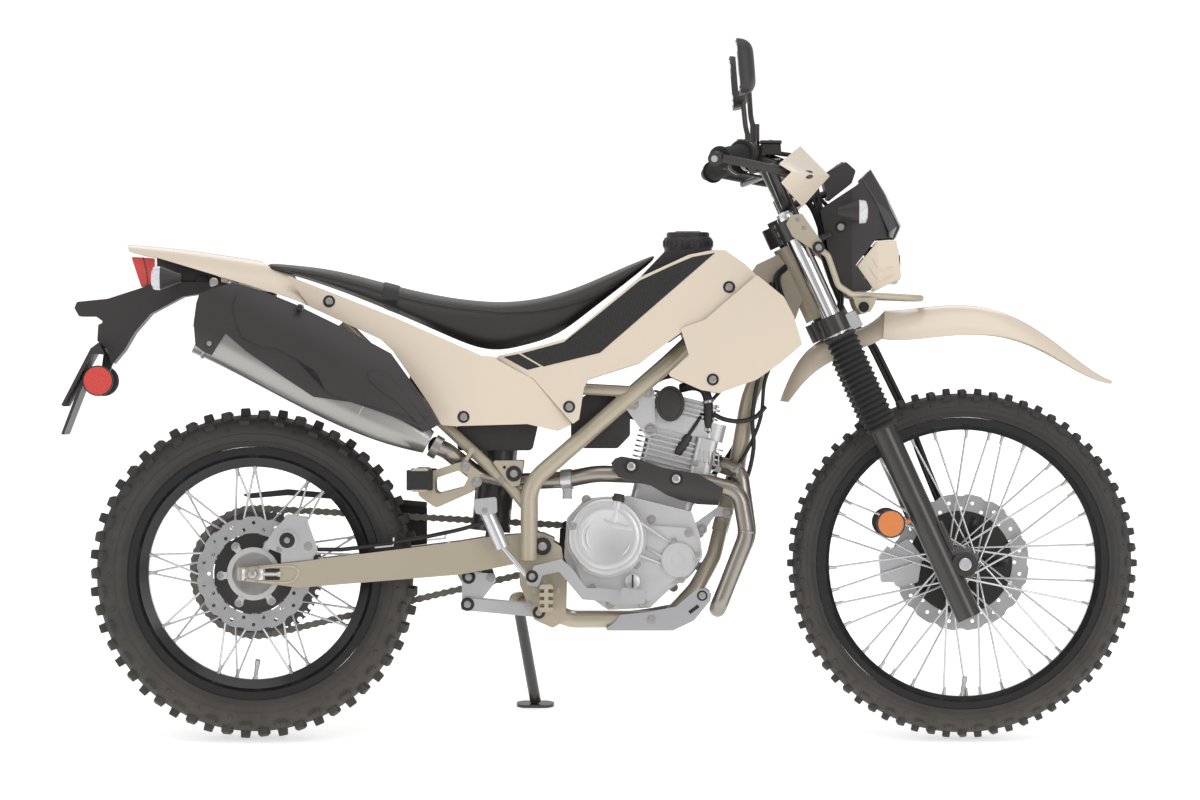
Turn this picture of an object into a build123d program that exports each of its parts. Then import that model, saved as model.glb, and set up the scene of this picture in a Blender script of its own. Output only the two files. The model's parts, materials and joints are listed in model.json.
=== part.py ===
from build123d import *
import os
from math import cos, radians, sin, tan

# Dual sport motorcycle, in millimetres. It is modelled upright and then leaned onto its side stand.
# Upright frame: +X forward, +Y to the rider's left, +Z up, the rear axle over the origin.

# ---- driving dimensions -------------------------------------------------------------------------
WHEELBASE = 1365.0
LEAN = 10.0                    # degrees the parked machine leans to its left
RAKE = 24.6                    # degrees of the steering axis from the vertical
STEER_GROUND_X = 1461.0        # where the steering axis meets the ground
FIT = 0.3                      # gap of pieces that seat on each other

FRONT_TYRE_R = 338.5           # over the lugs
REAR_TYRE_R = 319.0
FRONT_LUG, REAR_LUG = 11.0, 13.0          # lug heights
FRONT_RIM_R, REAR_RIM_R = 281.0, 243.5    # over the rim flanges
FRONT_RIM_W, REAR_RIM_W = 50.0, 66.0
FRONT_WELL_R, REAR_WELL_R = 257.0, 205.0  # inner faces of the rims
FRONT_DISC_R, REAR_DISC_R = 132.5, 110.0
AXLE_R = 8.5
SPOKE_R = 2.0

FORK_HALF = 95.0               # each fork leg from the centre plane
FORK_OFFSET = 19.0             # fork legs ahead of the steering axis
AXLE_LEAD = 53.7               # front axle ahead of the steering axis
FORK_TUBE_R = 18.5
SLIDER_R = 25.0
BAR_R = 11.1                   # handlebar at its clamp

PIVOT_X, PIVOT_Z = 556.0, 373.0           # swingarm pivot
ARM_IN, ARM_OUT = 72.0, 98.0              # swingarm legs, from the centre plane
FRAME_TUBE_R = 16.0
FRAME_HALF = 116.0                        # main frame tubes beside the pivot

CHAIN_Y = 68.0
CHAIN_PITCH = 15.875
REAR_TEETH, DRIVE_TEETH = 49, 13
DRIVE_X, DRIVE_Z = 625.0, 375.0           # gearbox output shaft
CHAIN_HALF_H = 7.5                        # half the height of a chain plate
CHAIN_PLATE_IN, CHAIN_PLATE_OUT = 4.6, 8.0
ROLLER_R = 5.0

STAND_X, STAND_Y, STAND_Z = 505.0, 128.0, 262.0   # side stand pivot
STAND_BOLT_R = 5.0

# ---- places worked out from them ----------------------------------------------------------------
FRONT_AXLE = (WHEELBASE, 0, FRONT_TYRE_R)
REAR_AXLE = (0, 0, REAR_TYRE_R)
SIN_RAKE, COS_RAKE = sin(radians(RAKE)), cos(radians(RAKE))
STEER = Plane(
    origin=(STEER_GROUND_X, 0, 0), x_dir=(COS_RAKE, 0, SIN_RAKE), z_dir=(-SIN_RAKE, 0, COS_RAKE)
)
REAR_PITCH_R = CHAIN_PITCH / 2 / sin(radians(180 / REAR_TEETH))
DRIVE_PITCH_R = CHAIN_PITCH / 2 / sin(radians(180 / DRIVE_TEETH))
CROWN_HALF = 13.0              # half width of the middle lugs, the edge a leaned tyre stands on
LIFT = CROWN_HALF * sin(radians(LEAN))

PIECES = {}


def keep(builder, name):
    """Label a finished piece and set it aside for the export."""
    builder.part.label = name
    PIECES[name] = builder.part


def side(across):
    """The side-view plane this far to the left; a positive extrude runs to the right."""
    return Plane(origin=(0, across, 0), x_dir=(1, 0, 0), z_dir=(0, -1, 0))


def along_steer(height):
    """The plane square to the steering axis at this height along it."""
    return STEER.offset(height)


def side_plate(points, left, right, corner=0.0):
    """A side-view outline between two distances across the machine."""
    with BuildPart() as plate:
        with BuildSketch(side(left)) as face:
            with BuildLine():
                Polyline(*points, close=True)
            make_face()
            if corner:
                fillet(face.vertices(), corner)
        extrude(amount=left - right)
    return plate.part


def tube(points, radius, bends):
    """A round tube along straight runs and tangent arcs."""
    with BuildPart() as run:
        with BuildLine() as path:
            if len(points) == 2:
                Line(*points)
            else:
                FilletPolyline(*points, radius=bends)
        with BuildSketch(path.line ^ 0):
            Circle(radius)
        sweep(path=path.line)
    return run.part


def rod(start, end, radius):
    """A straight round rod between two points."""
    reach = Vector(*end) - Vector(*start)
    with BuildPart() as bar:
        with BuildSketch(Plane(origin=start, z_dir=reach)):
            Circle(radius)
        extrude(amount=reach.length)
    return bar.part


def cross_rod(x, z, left, right, radius):
    """A round rod across the machine."""
    return rod((x, left, z), (x, right, z), radius)


def turned(axle, profile):
    """A closed profile of (across, radius) points turned about a wheel's axle."""
    with BuildPart() as ring:
        with BuildSketch(Plane(origin=axle, x_dir=(0, 1, 0), z_dir=(1, 0, 0))):
            with BuildLine():
                Polyline(*profile, close=True)
            make_face()
        revolve(axis=Axis(axle, (0, 1, 0)))
    return ring.part


def around(piece, axle, count, first=0.0):
    """Copies of a piece spaced evenly about a wheel's axle."""
    axis = Axis(axle, (0, 1, 0))
    return [piece.rotate(axis, first + 360 / count * index) for index in range(count)]


def both_sides(*pieces):
    """Pieces and their mirror images in the machine's centre plane."""
    return [copy for piece in pieces for copy in (piece, piece.mirror(Plane.XZ))]


# ---- wheels -------------------------------------------------------------------------------------
def tyre(axle, outer_r, lug_h, rim_r, rim_w, half_w, pitches, lug_l, shoulder_w):
    """A knobbly tyre of flat pitches: a middle lug on one, a pair of shoulder lugs on the next."""
    x, _, z = axle
    crown_r = outer_r - lug_h
    belly_r = rim_r + 0.42 * (crown_r - rim_r)
    crown = 0.42 * half_w
    turn = radians(90 / pitches)          # half the angle of one pitch
    with BuildPart() as pitch:
        reach = crown_r * tan(turn)
        with BuildSketch(Plane(origin=(x - reach, 0, z), x_dir=(0, 1, 0), z_dir=(1, 0, 0))):
            with BuildLine():
                Polyline((-rim_w / 2, -rim_r - FIT), (rim_w / 2, -rim_r - FIT), (half_w, -belly_r),
                         (crown, -crown_r), (-crown, -crown_r), (-half_w, -belly_r), close=True)
            make_face()
        extrude(amount=2 * reach)
        add(
            side_plate([(x, z), (x - outer_r * sin(turn), z - outer_r * cos(turn)),
                        (x + outer_r * sin(turn), z - outer_r * cos(turn))], half_w + 1, -half_w - 1),
            mode=Mode.INTERSECT,
        )
    with BuildPart() as middle:
        add(pitch.part)
        with BuildSketch(Plane.XY.offset(z - outer_r)):
            with Locations((x, 0)):
                Rectangle(lug_l, 2 * CROWN_HALF)
        extrude(amount=lug_h + 3)
    slope = Vector(0, half_w - crown, crown_r - belly_r).normalized()
    down = Vector(0, slope.Z, -slope.Y)
    seat = Vector(x, 0.55 * crown + 0.45 * half_w, z - 0.55 * crown_r - 0.45 * belly_r)
    with BuildPart() as knob:
        with BuildSketch(Plane(origin=seat - down * 3, x_dir=(1, 0, 0), z_dir=down)):
            Rectangle(lug_l * 1.1, shoulder_w)
        extrude(amount=lug_h + 1)
    with BuildPart() as flanks:
        add(pitch.part)
        for piece in both_sides(knob.part):
            add(piece)
    with BuildPart() as whole:
        add(around(middle.part, axle, pitches))
        add(around(flanks.part, axle, pitches, first=180 / pitches))
    return whole


keep(
    tyre(FRONT_AXLE, FRONT_TYRE_R, FRONT_LUG, FRONT_RIM_R, FRONT_RIM_W - 2, 39.0, 30, 26.0, 17.0),
    "front_tyre",
)
keep(
    tyre(REAR_AXLE, REAR_TYRE_R, REAR_LUG, REAR_RIM_R, REAR_RIM_W - 2, 50.0, 26, 30.0, 24.0),
    "rear_tyre",
)

with BuildPart() as front_rim:
    half = FRONT_RIM_W / 2
    add(
        turned(
            FRONT_AXLE,
            [
                (-half, FRONT_RIM_R), (half, FRONT_RIM_R), (half, FRONT_RIM_R - 13),
                (half - 6, FRONT_RIM_R - 17), (half - 13, FRONT_WELL_R), (13 - half, FRONT_WELL_R),
                (6 - half, FRONT_RIM_R - 17), (-half, FRONT_RIM_R - 13),
            ],
        )
    )
keep(front_rim, "front_rim")

with BuildPart() as rear_rim:
    half = REAR_RIM_W / 2
    add(
        turned(
            REAR_AXLE,
            [
                (-half, REAR_RIM_R), (half, REAR_RIM_R), (half, REAR_RIM_R - 15),
                (half - 9, REAR_RIM_R - 21), (half - 19, REAR_WELL_R), (19 - half, REAR_WELL_R),
                (9 - half, REAR_RIM_R - 21), (-half, REAR_RIM_R - 15),
            ],
        )
    )
keep(rear_rim, "rear_rim")


def wheel_point(axle, radius, across, angle):
    """A point of a wheel, its angle measured from straight ahead towards the top."""
    x, _, z = axle
    return (x + radius * cos(radians(angle)), across, z + radius * sin(radians(angle)))


def spokes(axle, table):
    """Crossed spokes; each row gives its own ends at the hub and at the rim."""
    with BuildPart() as web:
        for count, hub_r, hub_y, rim_r, rim_y, first, sweep_deg in table:
            for index in range(count):
                angle = first + 360 / count * index
                start = wheel_point(axle, hub_r, hub_y, angle)
                end = wheel_point(axle, rim_r, rim_y, angle + sweep_deg)
                add(rod(start, end, SPOKE_R))
    return web


FRONT_FLANGE_R, FRONT_FLANGE_Y, FLANGE_T = 34.0, 27.0, 5.0
REAR_FLANGE_R, REAR_FLANGE_Y = 52.0, 31.0
BESIDE = FLANGE_T / 2 + SPOKE_R + 1.3     # a spoke lying against a hub flange
SPOKE_END_GAP = 0.8
# columns: count, radius and across at the hub, radius and across at the rim, first angle, sweep
FRONT_SPOKES = [
    (9, FRONT_FLANGE_R - 4, sign * (FRONT_FLANGE_Y + lay * BESIDE), FRONT_WELL_R - SPOKE_END_GAP,
     sign * (5.5 + 2.5 * lay), first + 10 * (sign > 0), turn)
    for sign in (1, -1)
    for lay, first, turn in ((1, 0.0, 62.0), (-1, 20.0, -62.0))
]
REAR_SPOKES = [
    (9, REAR_FLANGE_R - 4, sign * (REAR_FLANGE_Y + lay * BESIDE), REAR_WELL_R - SPOKE_END_GAP,
     sign * (8.0 + 3.0 * lay), first + 10 * (sign > 0), turn)
    for sign in (1, -1)
    for lay, first, turn in ((1, 0.0, 50.0), (-1, 20.0, -50.0))
]
keep(spokes(FRONT_AXLE, FRONT_SPOKES), "front_spokes")
keep(spokes(REAR_AXLE, REAR_SPOKES), "rear_spokes")

DISC_T = 4.0
FRONT_DISC_Y = 48.0
REAR_DISC_Y = -58.0
with BuildPart() as front_hub:
    flange = FRONT_FLANGE_Y
    add(
        turned(
            FRONT_AXLE,
            [
                (-flange - 2.5, AXLE_R + FIT), (-flange - 2.5, FRONT_FLANGE_R),
                (-flange + 2.5, FRONT_FLANGE_R), (-flange + 2.5, 24), (-8, 19), (8, 19),
                (flange - 2.5, 24), (flange - 2.5, FRONT_FLANGE_R), (flange + 2.5, FRONT_FLANGE_R),
                (flange + 2.5, 26), (FRONT_DISC_Y - DISC_T / 2 - FIT, 26),
                (FRONT_DISC_Y - DISC_T / 2 - FIT, AXLE_R + FIT),
            ],
        )
    )
keep(front_hub, "front_hub")

with BuildPart() as rear_hub:
    flange = REAR_FLANGE_Y
    add(
        turned(
            REAR_AXLE,
            [
                (REAR_DISC_Y + DISC_T / 2 + FIT, AXLE_R + FIT), (REAR_DISC_Y + DISC_T / 2 + FIT, 44),
                (-flange - 2.5, 44), (-flange - 2.5, REAR_FLANGE_R), (-flange + 2.5, REAR_FLANGE_R),
                (-flange + 2.5, 38), (-8, 30), (8, 30), (flange - 2.5, 38),
                (flange - 2.5, REAR_FLANGE_R), (flange + 2.5, REAR_FLANGE_R), (flange + 2.5, 46),
                (CHAIN_Y - 3 - FIT, 46), (CHAIN_Y - 3 - FIT, AXLE_R + FIT),
            ],
        )
    )
keep(rear_hub, "rear_hub")


def petal_disc(axle, across, outer_r, inner_r, bore_r, waves, arms):
    """A wave-edged brake disc: a drilled band carried on arms from its hub ring."""
    with BuildPart() as disc:
        with BuildSketch(
            Plane(origin=(axle[0], across + DISC_T / 2, axle[2]), x_dir=(1, 0, 0), z_dir=(0, -1, 0))
        ):
            Circle(outer_r)
            with PolarLocations(outer_r + 14, waves):
                Circle(18, mode=Mode.SUBTRACT)
            Circle(inner_r, mode=Mode.SUBTRACT)
            Circle(bore_r + 15)
            with PolarLocations((inner_r + bore_r) / 2, arms):
                Rectangle(inner_r - bore_r + 8, 16)
            Circle(bore_r, mode=Mode.SUBTRACT)
            with PolarLocations((outer_r + inner_r) / 2 - 8, waves):
                Circle(3.5, mode=Mode.SUBTRACT)
            with PolarLocations((outer_r + inner_r) / 2 + 4, waves, start_angle=180 / waves):
                Circle(3.5, mode=Mode.SUBTRACT)
        extrude(amount=DISC_T)
    return disc


keep(petal_disc(FRONT_AXLE, FRONT_DISC_Y, FRONT_DISC_R, 92, AXLE_R + FIT, 16, 5), "front_disc")
keep(petal_disc(REAR_AXLE, REAR_DISC_Y, REAR_DISC_R, 78, AXLE_R + FIT, 14, 5), "rear_disc")

TOOTH_H = 4.5
with BuildPart() as rear_sprocket:
    with BuildSketch(
        Plane(origin=(0, CHAIN_Y + 3, REAR_TYRE_R), x_dir=(1, 0, 0), z_dir=(0, -1, 0))
    ) as blank:
        Circle(REAR_PITCH_R + TOOTH_H)
        with PolarLocations(REAR_PITCH_R, REAR_TEETH, start_angle=180 / REAR_TEETH):
            Circle(5.1, mode=Mode.SUBTRACT)
        with PolarLocations(88, 6):
            Circle(17, mode=Mode.SUBTRACT)
        Circle(AXLE_R + FIT, mode=Mode.SUBTRACT)
    extrude(amount=6)
keep(rear_sprocket, "rear_sprocket")


# ---- frame and swingarm -------------------------------------------------------------------------
HEAD_LOW, HEAD_HIGH, HEAD_R = 893.0, 1045.0, 27.0     # head tube along the steering axis
STEM_R = 13.0
STEM_PLAY = 0.05
RAIL_R, RAIL_HALF = 11.0, 84.0
PLATE_IN, PLATE_OUT = 100.0, 112.0                    # pivot plates, from the centre plane
STAND_DOWN = Vector(0.1278, 0.621, -0.7735)           # leg direction with the stand out
STAND_UP = Vector(-0.96, 0.08, -0.268)                # leg direction with the stand folded
STAND_SWING = STAND_DOWN - STAND_UP
STAND_AXIS = (Vector(0, 1, 0) - STAND_SWING * (STAND_SWING.Y / STAND_SWING.dot(STAND_SWING))).normalized()
STAND_PIVOT = Vector(STAND_X, STAND_Y, STAND_Z)
STAND_PLATE_T = 9.0
HANGER_Y = 61.5                                       # cylinder hangers, from the centre plane
HANGER_OUTLINE = [(756, 680), (771, 671), (773, 586), (756, 581), (716, 636), (721, 650)]
HANGER_BOLTS = [(757, 669), (728, 645)]

with BuildPart() as frame:
    # steering head with its gussets
    with BuildSketch(along_steer(HEAD_LOW)):
        Circle(HEAD_R)
    extrude(amount=HEAD_HIGH - HEAD_LOW)
    add(side_plate([(968, 914), (1010, 934), (1060, 858), (1040, 800), (1000, 770), (890, 790)], 22, -22))
    # one front tube, forked into two cradle tubes under the engine
    add(tube([(1030, 0, 822), (1000, 0, 770), (953, 0, 653), (930, 0, 522), (897, 0, 400)],
             FRAME_TUBE_R, [60, 200, 200]))
    for across in (1, -1):
        add(tube([(903, 0, 425), (886, 22 * across, 352), (850, 50 * across, 287),
                  (797, 68 * across, 230), (705, 80 * across, 230), (600, 92 * across, 230),
                  (572, 96 * across, 254)],
                 14.0, [80, 90, 40, 150, 60]))
        # main tube from the head, down beside the engine to the swingarm pivot
        add(tube([(1000, 14 * across, 862), (870, 40 * across, 792), (795, 72 * across, 722),
                  (530, FRAME_HALF * across, 492), (530, FRAME_HALF * across, 346)],
                 FRAME_TUBE_R, [90, 120, 75]))
        # seat rail and its strut
        add(tube([(745, RAIL_HALF * across, 668), (600, RAIL_HALF * across, 676),
                  (430, RAIL_HALF * across, 700), (60, 70 * across, 866), (-60, 52 * across, 890)],
                 RAIL_R, [160, 160, 160]))
        add(tube([(528, 106 * across, 446), (490, 98 * across, 492), (360, 86 * across, 612),
                  (170, 76 * across, 800)], RAIL_R, [60, 300]))
    for piece in both_sides(
        side_plate([(512, 395), (545, 400), (592, 372), (602, 300), (600, 232), (576, 216),
                    (540, 232), (512, 300)], PLATE_OUT, PLATE_IN, 8),
        side_plate([(458, 537), (520, 537), (512, 490), (497, 486)], 112, 94, 4),
        side_plate([(466, 700), (490, 700), (492, 628), (464, 628)], 22, 16.5),
    ):
        add(piece)
    # cross tubes and mounts
    for x, z, half_l, radius in (
        (612, 230, 90, 13), (-40, 887, 54, 8), (478, 694, 84, 9), (530, 450, 106, 13),
        (600, 676, 84, 9), (549, 246, PLATE_IN + 1, 7), (478, 640, 22, 7),
    ):
        add(cross_rod(x, z, -half_l, half_l, radius))
    add(cross_rod(PIVOT_X, PIVOT_Z, PLATE_OUT + 6, -PLATE_OUT - 6, 10.0))
    # tabs that carry the cylinder's hangers
    for x, z in HANGER_BOLTS:
        for across in (1, -1):
            add(cross_rod(x, z, across * (HANGER_Y + 2.5 + FIT), across * 80, 6))
    # side stand bracket and bolt
    with BuildSketch(Plane(origin=STAND_PIVOT - STAND_AXIS * (STAND_PLATE_T / 2 + FIT),
                           z_dir=STAND_AXIS * -1)):
        Circle(19)
    extrude(amount=9)
    add(rod(STAND_PIVOT - STAND_AXIS * 14, (540, 103, 262), 7.5))
    with BuildSketch(Plane(origin=STAND_PIVOT - STAND_AXIS * 10, z_dir=STAND_AXIS)):
        Circle(STAND_BOLT_R)
    extrude(amount=10 + STAND_PLATE_T / 2 + 1)
    with BuildSketch(Plane(origin=STAND_PIVOT + STAND_AXIS * (STAND_PLATE_T / 2 + FIT), z_dir=STAND_AXIS)):
        RegularPolygon(9, 6)
    extrude(amount=6)
    with BuildSketch(along_steer(HEAD_LOW - 60)):
        Circle(STEM_R + STEM_PLAY)
    extrude(amount=HEAD_HIGH - HEAD_LOW + 120, mode=Mode.SUBTRACT)
keep(frame, "frame")

with BuildPart() as swingarm:
    arm = side_plate(
        [(PIVOT_X + 22, PIVOT_Z + 14), (PIVOT_X, PIVOT_Z + 24), (456, 391), (396, 381), (90, 343),
         (51, 339), (-30, 331), (-30, 307), (51, 298), (90, 293), (396, 318), (456, 329),
         (PIVOT_X, PIVOT_Z - 24), (PIVOT_X + 22, PIVOT_Z - 14)],
        ARM_OUT, ARM_IN, 3,
    )
    for piece in both_sides(arm):
        add(piece)
    add(side_plate([(348, 332), (348, 366), (372, 378), (396, 372), (396, 330)], ARM_IN + 6, -ARM_IN - 6, 4))
    add(cross_rod(PIVOT_X, PIVOT_Z, ARM_IN + 6, -ARM_IN - 6, 19))
    for ear in both_sides(side_plate([(380, 336), (446, 336), (426, 300), (400, 300)], 26, 16, 6)):
        add(ear)
    add(cross_rod(PIVOT_X, PIVOT_Z, PLATE_IN - FIT, FIT - PLATE_IN, 10.4 + FIT), mode=Mode.SUBTRACT)
    # axle, clamped in the ends of the legs
    add(cross_rod(0, REAR_TYRE_R, ARM_OUT + 12, -ARM_OUT - 12, AXLE_R))
    for across in (1, -1):
        add(cross_rod(0, REAR_TYRE_R, across * (ARM_OUT + 10), across * ARM_OUT, 15))
keep(swingarm, "swingarm")

with BuildPart() as shock:
    add(rod((478, 0, 640), (446, 0, 318), 9))
    with BuildSketch(Plane(origin=(474, 0, 600), z_dir=(446 - 478, 0, 318 - 640))):
        Circle(37)
        Circle(30, mode=Mode.SUBTRACT)
    extrude(amount=190)
    with BuildSketch(Plane(origin=(475, 0, 612), z_dir=(446 - 478, 0, 318 - 640))):
        Circle(39)
    extrude(amount=14)
    with BuildSketch(Plane(origin=(455, 0, 412), z_dir=(446 - 478, 0, 318 - 640))):
        Circle(39)
    extrude(amount=12)
    with BuildSketch(Plane(origin=(474, 0, 600), z_dir=(446 - 478, 0, 318 - 640))):
        Circle(22)
    extrude(amount=120)
    add(cross_rod(478, 640, 16, -16, 15))
    add(cross_rod(446, 318, 11, -11, 15))
    add(cross_rod(478, 640, 20, -20, 7.1), mode=Mode.SUBTRACT)
keep(shock, "shock")

with BuildPart() as linkage:
    rocker = side_plate([(400, 322), (424, 322), (460, 318), (466, 304), (424, 250), (400, 250)], 38, 30, 7)
    bar = side_plate([(398, 249), (556, 234), (564, 246), (556, 258), (411, 272), (400, 266)], 52, 42, 4)
    for piece in both_sides(rocker, bar, cross_rod(549, 246, 52, 42, 14)):
        add(piece)
    add(cross_rod(549, 246, 60, -60, 7.1), mode=Mode.SUBTRACT)
    add(cross_rod(411, 260, 54, -54, 7))
    add(cross_rod(413, 313, 40, 26 + FIT, 7))
    add(cross_rod(413, 313, -26 - FIT, -40, 7))
    add(cross_rod(452, 312, 36, 12, 6))
    add(cross_rod(452, 312, -12, -36, 6))
keep(linkage, "linkage")


# ---- chain --------------------------------------------------------------------------------------
def chain_band(left):
    """One row of chain plates: a band about both sprockets."""
    with BuildPart() as band:
        with BuildSketch(side(left)) as loop:
            with Locations((0, REAR_TYRE_R)):
                Circle(REAR_PITCH_R + CHAIN_HALF_H)
            with Locations((DRIVE_X, DRIVE_Z)):
                Circle(DRIVE_PITCH_R + CHAIN_HALF_H)
            make_hull()
        extrude(amount=CHAIN_PLATE_OUT - CHAIN_PLATE_IN)
        with BuildSketch(side(left)) as inside:
            with Locations((0, REAR_TYRE_R)):
                Circle(REAR_PITCH_R - CHAIN_HALF_H)
            with Locations((DRIVE_X, DRIVE_Z)):
                Circle(DRIVE_PITCH_R - CHAIN_HALF_H)
            make_hull()
        extrude(amount=CHAIN_PLATE_OUT - CHAIN_PLATE_IN, mode=Mode.SUBTRACT)
    return band.part


CHAIN_RUN = Vector(DRIVE_X, 0, DRIVE_Z - REAR_TYRE_R)
CHAIN_TURN = (REAR_PITCH_R - DRIVE_PITCH_R) / CHAIN_RUN.length     # sine of each run's slope to the centres
RUN_LENGTH = CHAIN_RUN.length * (1 - CHAIN_TURN ** 2) ** 0.5
with BuildPart() as chain:
    add(chain_band(CHAIN_Y + CHAIN_PLATE_OUT))
    add(chain_band(CHAIN_Y - CHAIN_PLATE_IN))
    along = CHAIN_RUN.normalized()
    upward = Vector(-along.Z, 0, along.X)
    for sign in (1, -1):
        # rollers on every second pitch of both straight runs
        outward = along * CHAIN_TURN + upward * (sign * (1 - CHAIN_TURN ** 2) ** 0.5)
        onward = along * (1 - CHAIN_TURN ** 2) ** 0.5 - upward * (sign * CHAIN_TURN)
        for step in range(2, int(RUN_LENGTH / CHAIN_PITCH / 2)):
            spot = Vector(*REAR_AXLE) + outward * REAR_PITCH_R + onward * (2 * step * CHAIN_PITCH)
            with BuildSketch(side(CHAIN_Y + CHAIN_PLATE_IN + 1)):
                with Locations((spot.X, spot.Z)):
                    RegularPolygon(ROLLER_R, 6)
            extrude(amount=2 * CHAIN_PLATE_IN + 2)
    # rollers about the drive sprocket
    for step in (-2, -1, 0, 1, 2):
        turn = radians(360 / DRIVE_TEETH * step)
        with BuildSketch(side(CHAIN_Y + CHAIN_PLATE_IN + 1)):
            with Locations((DRIVE_X + DRIVE_PITCH_R * cos(turn), DRIVE_Z + DRIVE_PITCH_R * sin(turn))):
                RegularPolygon(ROLLER_R, 6)
        extrude(amount=2 * CHAIN_PLATE_IN + 2)
keep(chain, "chain")

with BuildPart() as chain_guard:
    add(side_plate([(-32, 470), (60, 480), (330, 455), (330, 446), (60, 468), (-10, 462)],
                   CHAIN_Y + 14, CHAIN_Y - 12, 2))
    add(side_plate([(150, 462), (330, 446), (330, 398), (300, 392), (240, 430), (150, 452)],
                   CHAIN_Y + 18, CHAIN_Y + 14, 3))
    add(side_plate([(296, 369.1), (330, 373.3), (330, 402), (300, 402)], CHAIN_Y + 18, CHAIN_Y + 14, 2))
keep(chain_guard, "chain_guard")


# ---- engine -------------------------------------------------------------------------------------
CASE_LEFT, CASE_RIGHT = 66.0, -84.0
BORE_TILT = 14.0
CYLINDER_BASE = (776.0, 455.0)
CASE_OUTLINE = [
    (597, 352), (602, 424), (638, 463), (724, 468), (842, 438.6), (858, 392), (863, 352),
    (838, 316), (800, 290), (762, 254), (681, 250), (625, 290),
]
CLUTCH_X, CLUTCH_Z, CLUTCH_R = 678.6, 390.8, 75.0
with BuildPart() as engine_case:
    add(side_plate(CASE_OUTLINE, 54, CASE_RIGHT, 9))
    # right cover with the round clutch and oil filter covers
    add(side_plate([(612, 352), (618, 418), (646, 452), (712, 456), (760, 412), (832, 408),
                    (850, 384), (855, 352), (832, 324), (796, 300), (752, 262), (690, 260),
                    (634, 298)], CASE_RIGHT, CASE_RIGHT - 16, 10))
    with BuildSketch(side(CASE_RIGHT)):
        with Locations((CLUTCH_X, CLUTCH_Z)):
            Circle(CLUTCH_R)
    extrude(amount=40)
    fillet(engine_case.faces().filter_by(Axis.Y).sort_by(Axis.Y)[0].edges(), 9)
    with BuildSketch(side(CASE_RIGHT)):
        with Locations((816.5, 346.5)):
            Circle(32.6)
        with Locations((728.5, 306.0)):
            Circle(12.4)
    extrude(amount=26)
    # front hanger plates, one each side of the frame's front tube
    hanger = side_plate([(846, 386), (846, 412), (896, 448), (924, 442), (918, 430), (886, 428),
                         (866, 398)],
                        FRAME_TUBE_R + FIT + 5, FRAME_TUBE_R + FIT, 5)
    for piece in both_sides(hanger):
        add(piece)
    # left side: generator cover, sprocket boss
    with BuildSketch(side(54)):
        with Locations((792, 362)):
            Circle(68)
    extrude(amount=-54)
    with BuildSketch(side(54)):
        with Locations((DRIVE_X, DRIVE_Z)):
            Circle(17)
    extrude(amount=-30)
    with BuildSketch(side(CHAIN_Y + 3)):
        with Locations((DRIVE_X, DRIVE_Z)):
            Circle(DRIVE_PITCH_R - ROLLER_R - FIT)
    extrude(amount=6)
keep(engine_case, "engine_case")

FIN_SHIFT, FIN_L, FIN_W = 16.0, 168.0, 116.0
HEAD_SHIFT, HEAD_L = 11.0, 166.0          # cylinder head along its plane, and its length
HEAD_BASE, HEAD_T = 142.0, 34.0           # its height up the bore
HEADER_R = 16.0
HEADER_START, HEADER_TURN = Vector(884, -20, 534), Vector(936, -40, 514)
CYLINDER = Plane(
    origin=(CYLINDER_BASE[0], 0, CYLINDER_BASE[1]),
    x_dir=(cos(radians(BORE_TILT)), 0, -sin(radians(BORE_TILT))),
    z_dir=(sin(radians(BORE_TILT)), 0, cos(radians(BORE_TILT))),
)
with BuildPart() as cylinder:
    with BuildSketch(CYLINDER.offset(FIT)):
        with Locations((FIN_SHIFT / 2, 0)):
            RectangleRounded(120, 96, 14)
    extrude(amount=210)
    for step in range(11):
        with BuildSketch(CYLINDER.offset(26 + 10 * step)):
            with Locations((FIN_SHIFT, 0)):
                RectangleRounded(FIN_L, FIN_W, 22)
        extrude(amount=3.2)
    # cylinder head and its cover
    with BuildSketch(CYLINDER.offset(HEAD_BASE)):
        with Locations((HEAD_SHIFT, 0)):
            RectangleRounded(HEAD_L, 112, 20)
    extrude(amount=HEAD_T)
    for step in range(3):
        with BuildSketch(CYLINDER.offset(HEAD_BASE + HEAD_T + 4 + 9 * step)):
            with Locations((HEAD_SHIFT - 6, 0)):
                RectangleRounded(HEAD_L - 26, 108, 18)
        extrude(amount=4)
    # round camshaft cover on the right, and the valve box on the front
    with BuildSketch(side(-40)):
        with Locations((801, 646)):
            Ellipse(26, 33)
    extrude(amount=34)
    with BuildSketch(CYLINDER.offset(70)):
        with Locations((HEAD_SHIFT + HEAD_L / 2 - 30, -44)):
            RectangleRounded(44, 44, 14)
    extrude(amount=HEAD_BASE - 70)
    # exhaust port, with the fins cut back about it
    port = HEADER_TURN - HEADER_START
    add(rod(HEADER_START - port.normalized() * FIT, HEADER_TURN, HEADER_R + 6), mode=Mode.SUBTRACT)
    add(rod(HEADER_START - port.normalized() * 60, HEADER_START - port.normalized() * FIT, HEADER_R + 5))
    # hangers from the head to the main frame tubes
    for across in (1, -1):
        with BuildSketch(side(across * HANGER_Y + 2.5)) as hanger:
            with BuildLine():
                Polyline(*HANGER_OUTLINE, close=True)
            make_face()
            fillet(hanger.vertices(), 7)
        extrude(amount=5)
        add(cross_rod(HANGER_OUTLINE[2][0] - 9, HANGER_OUTLINE[2][1] + 14,
                      across * 40, across * HANGER_Y, 10))
keep(cylinder, "cylinder")

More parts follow.
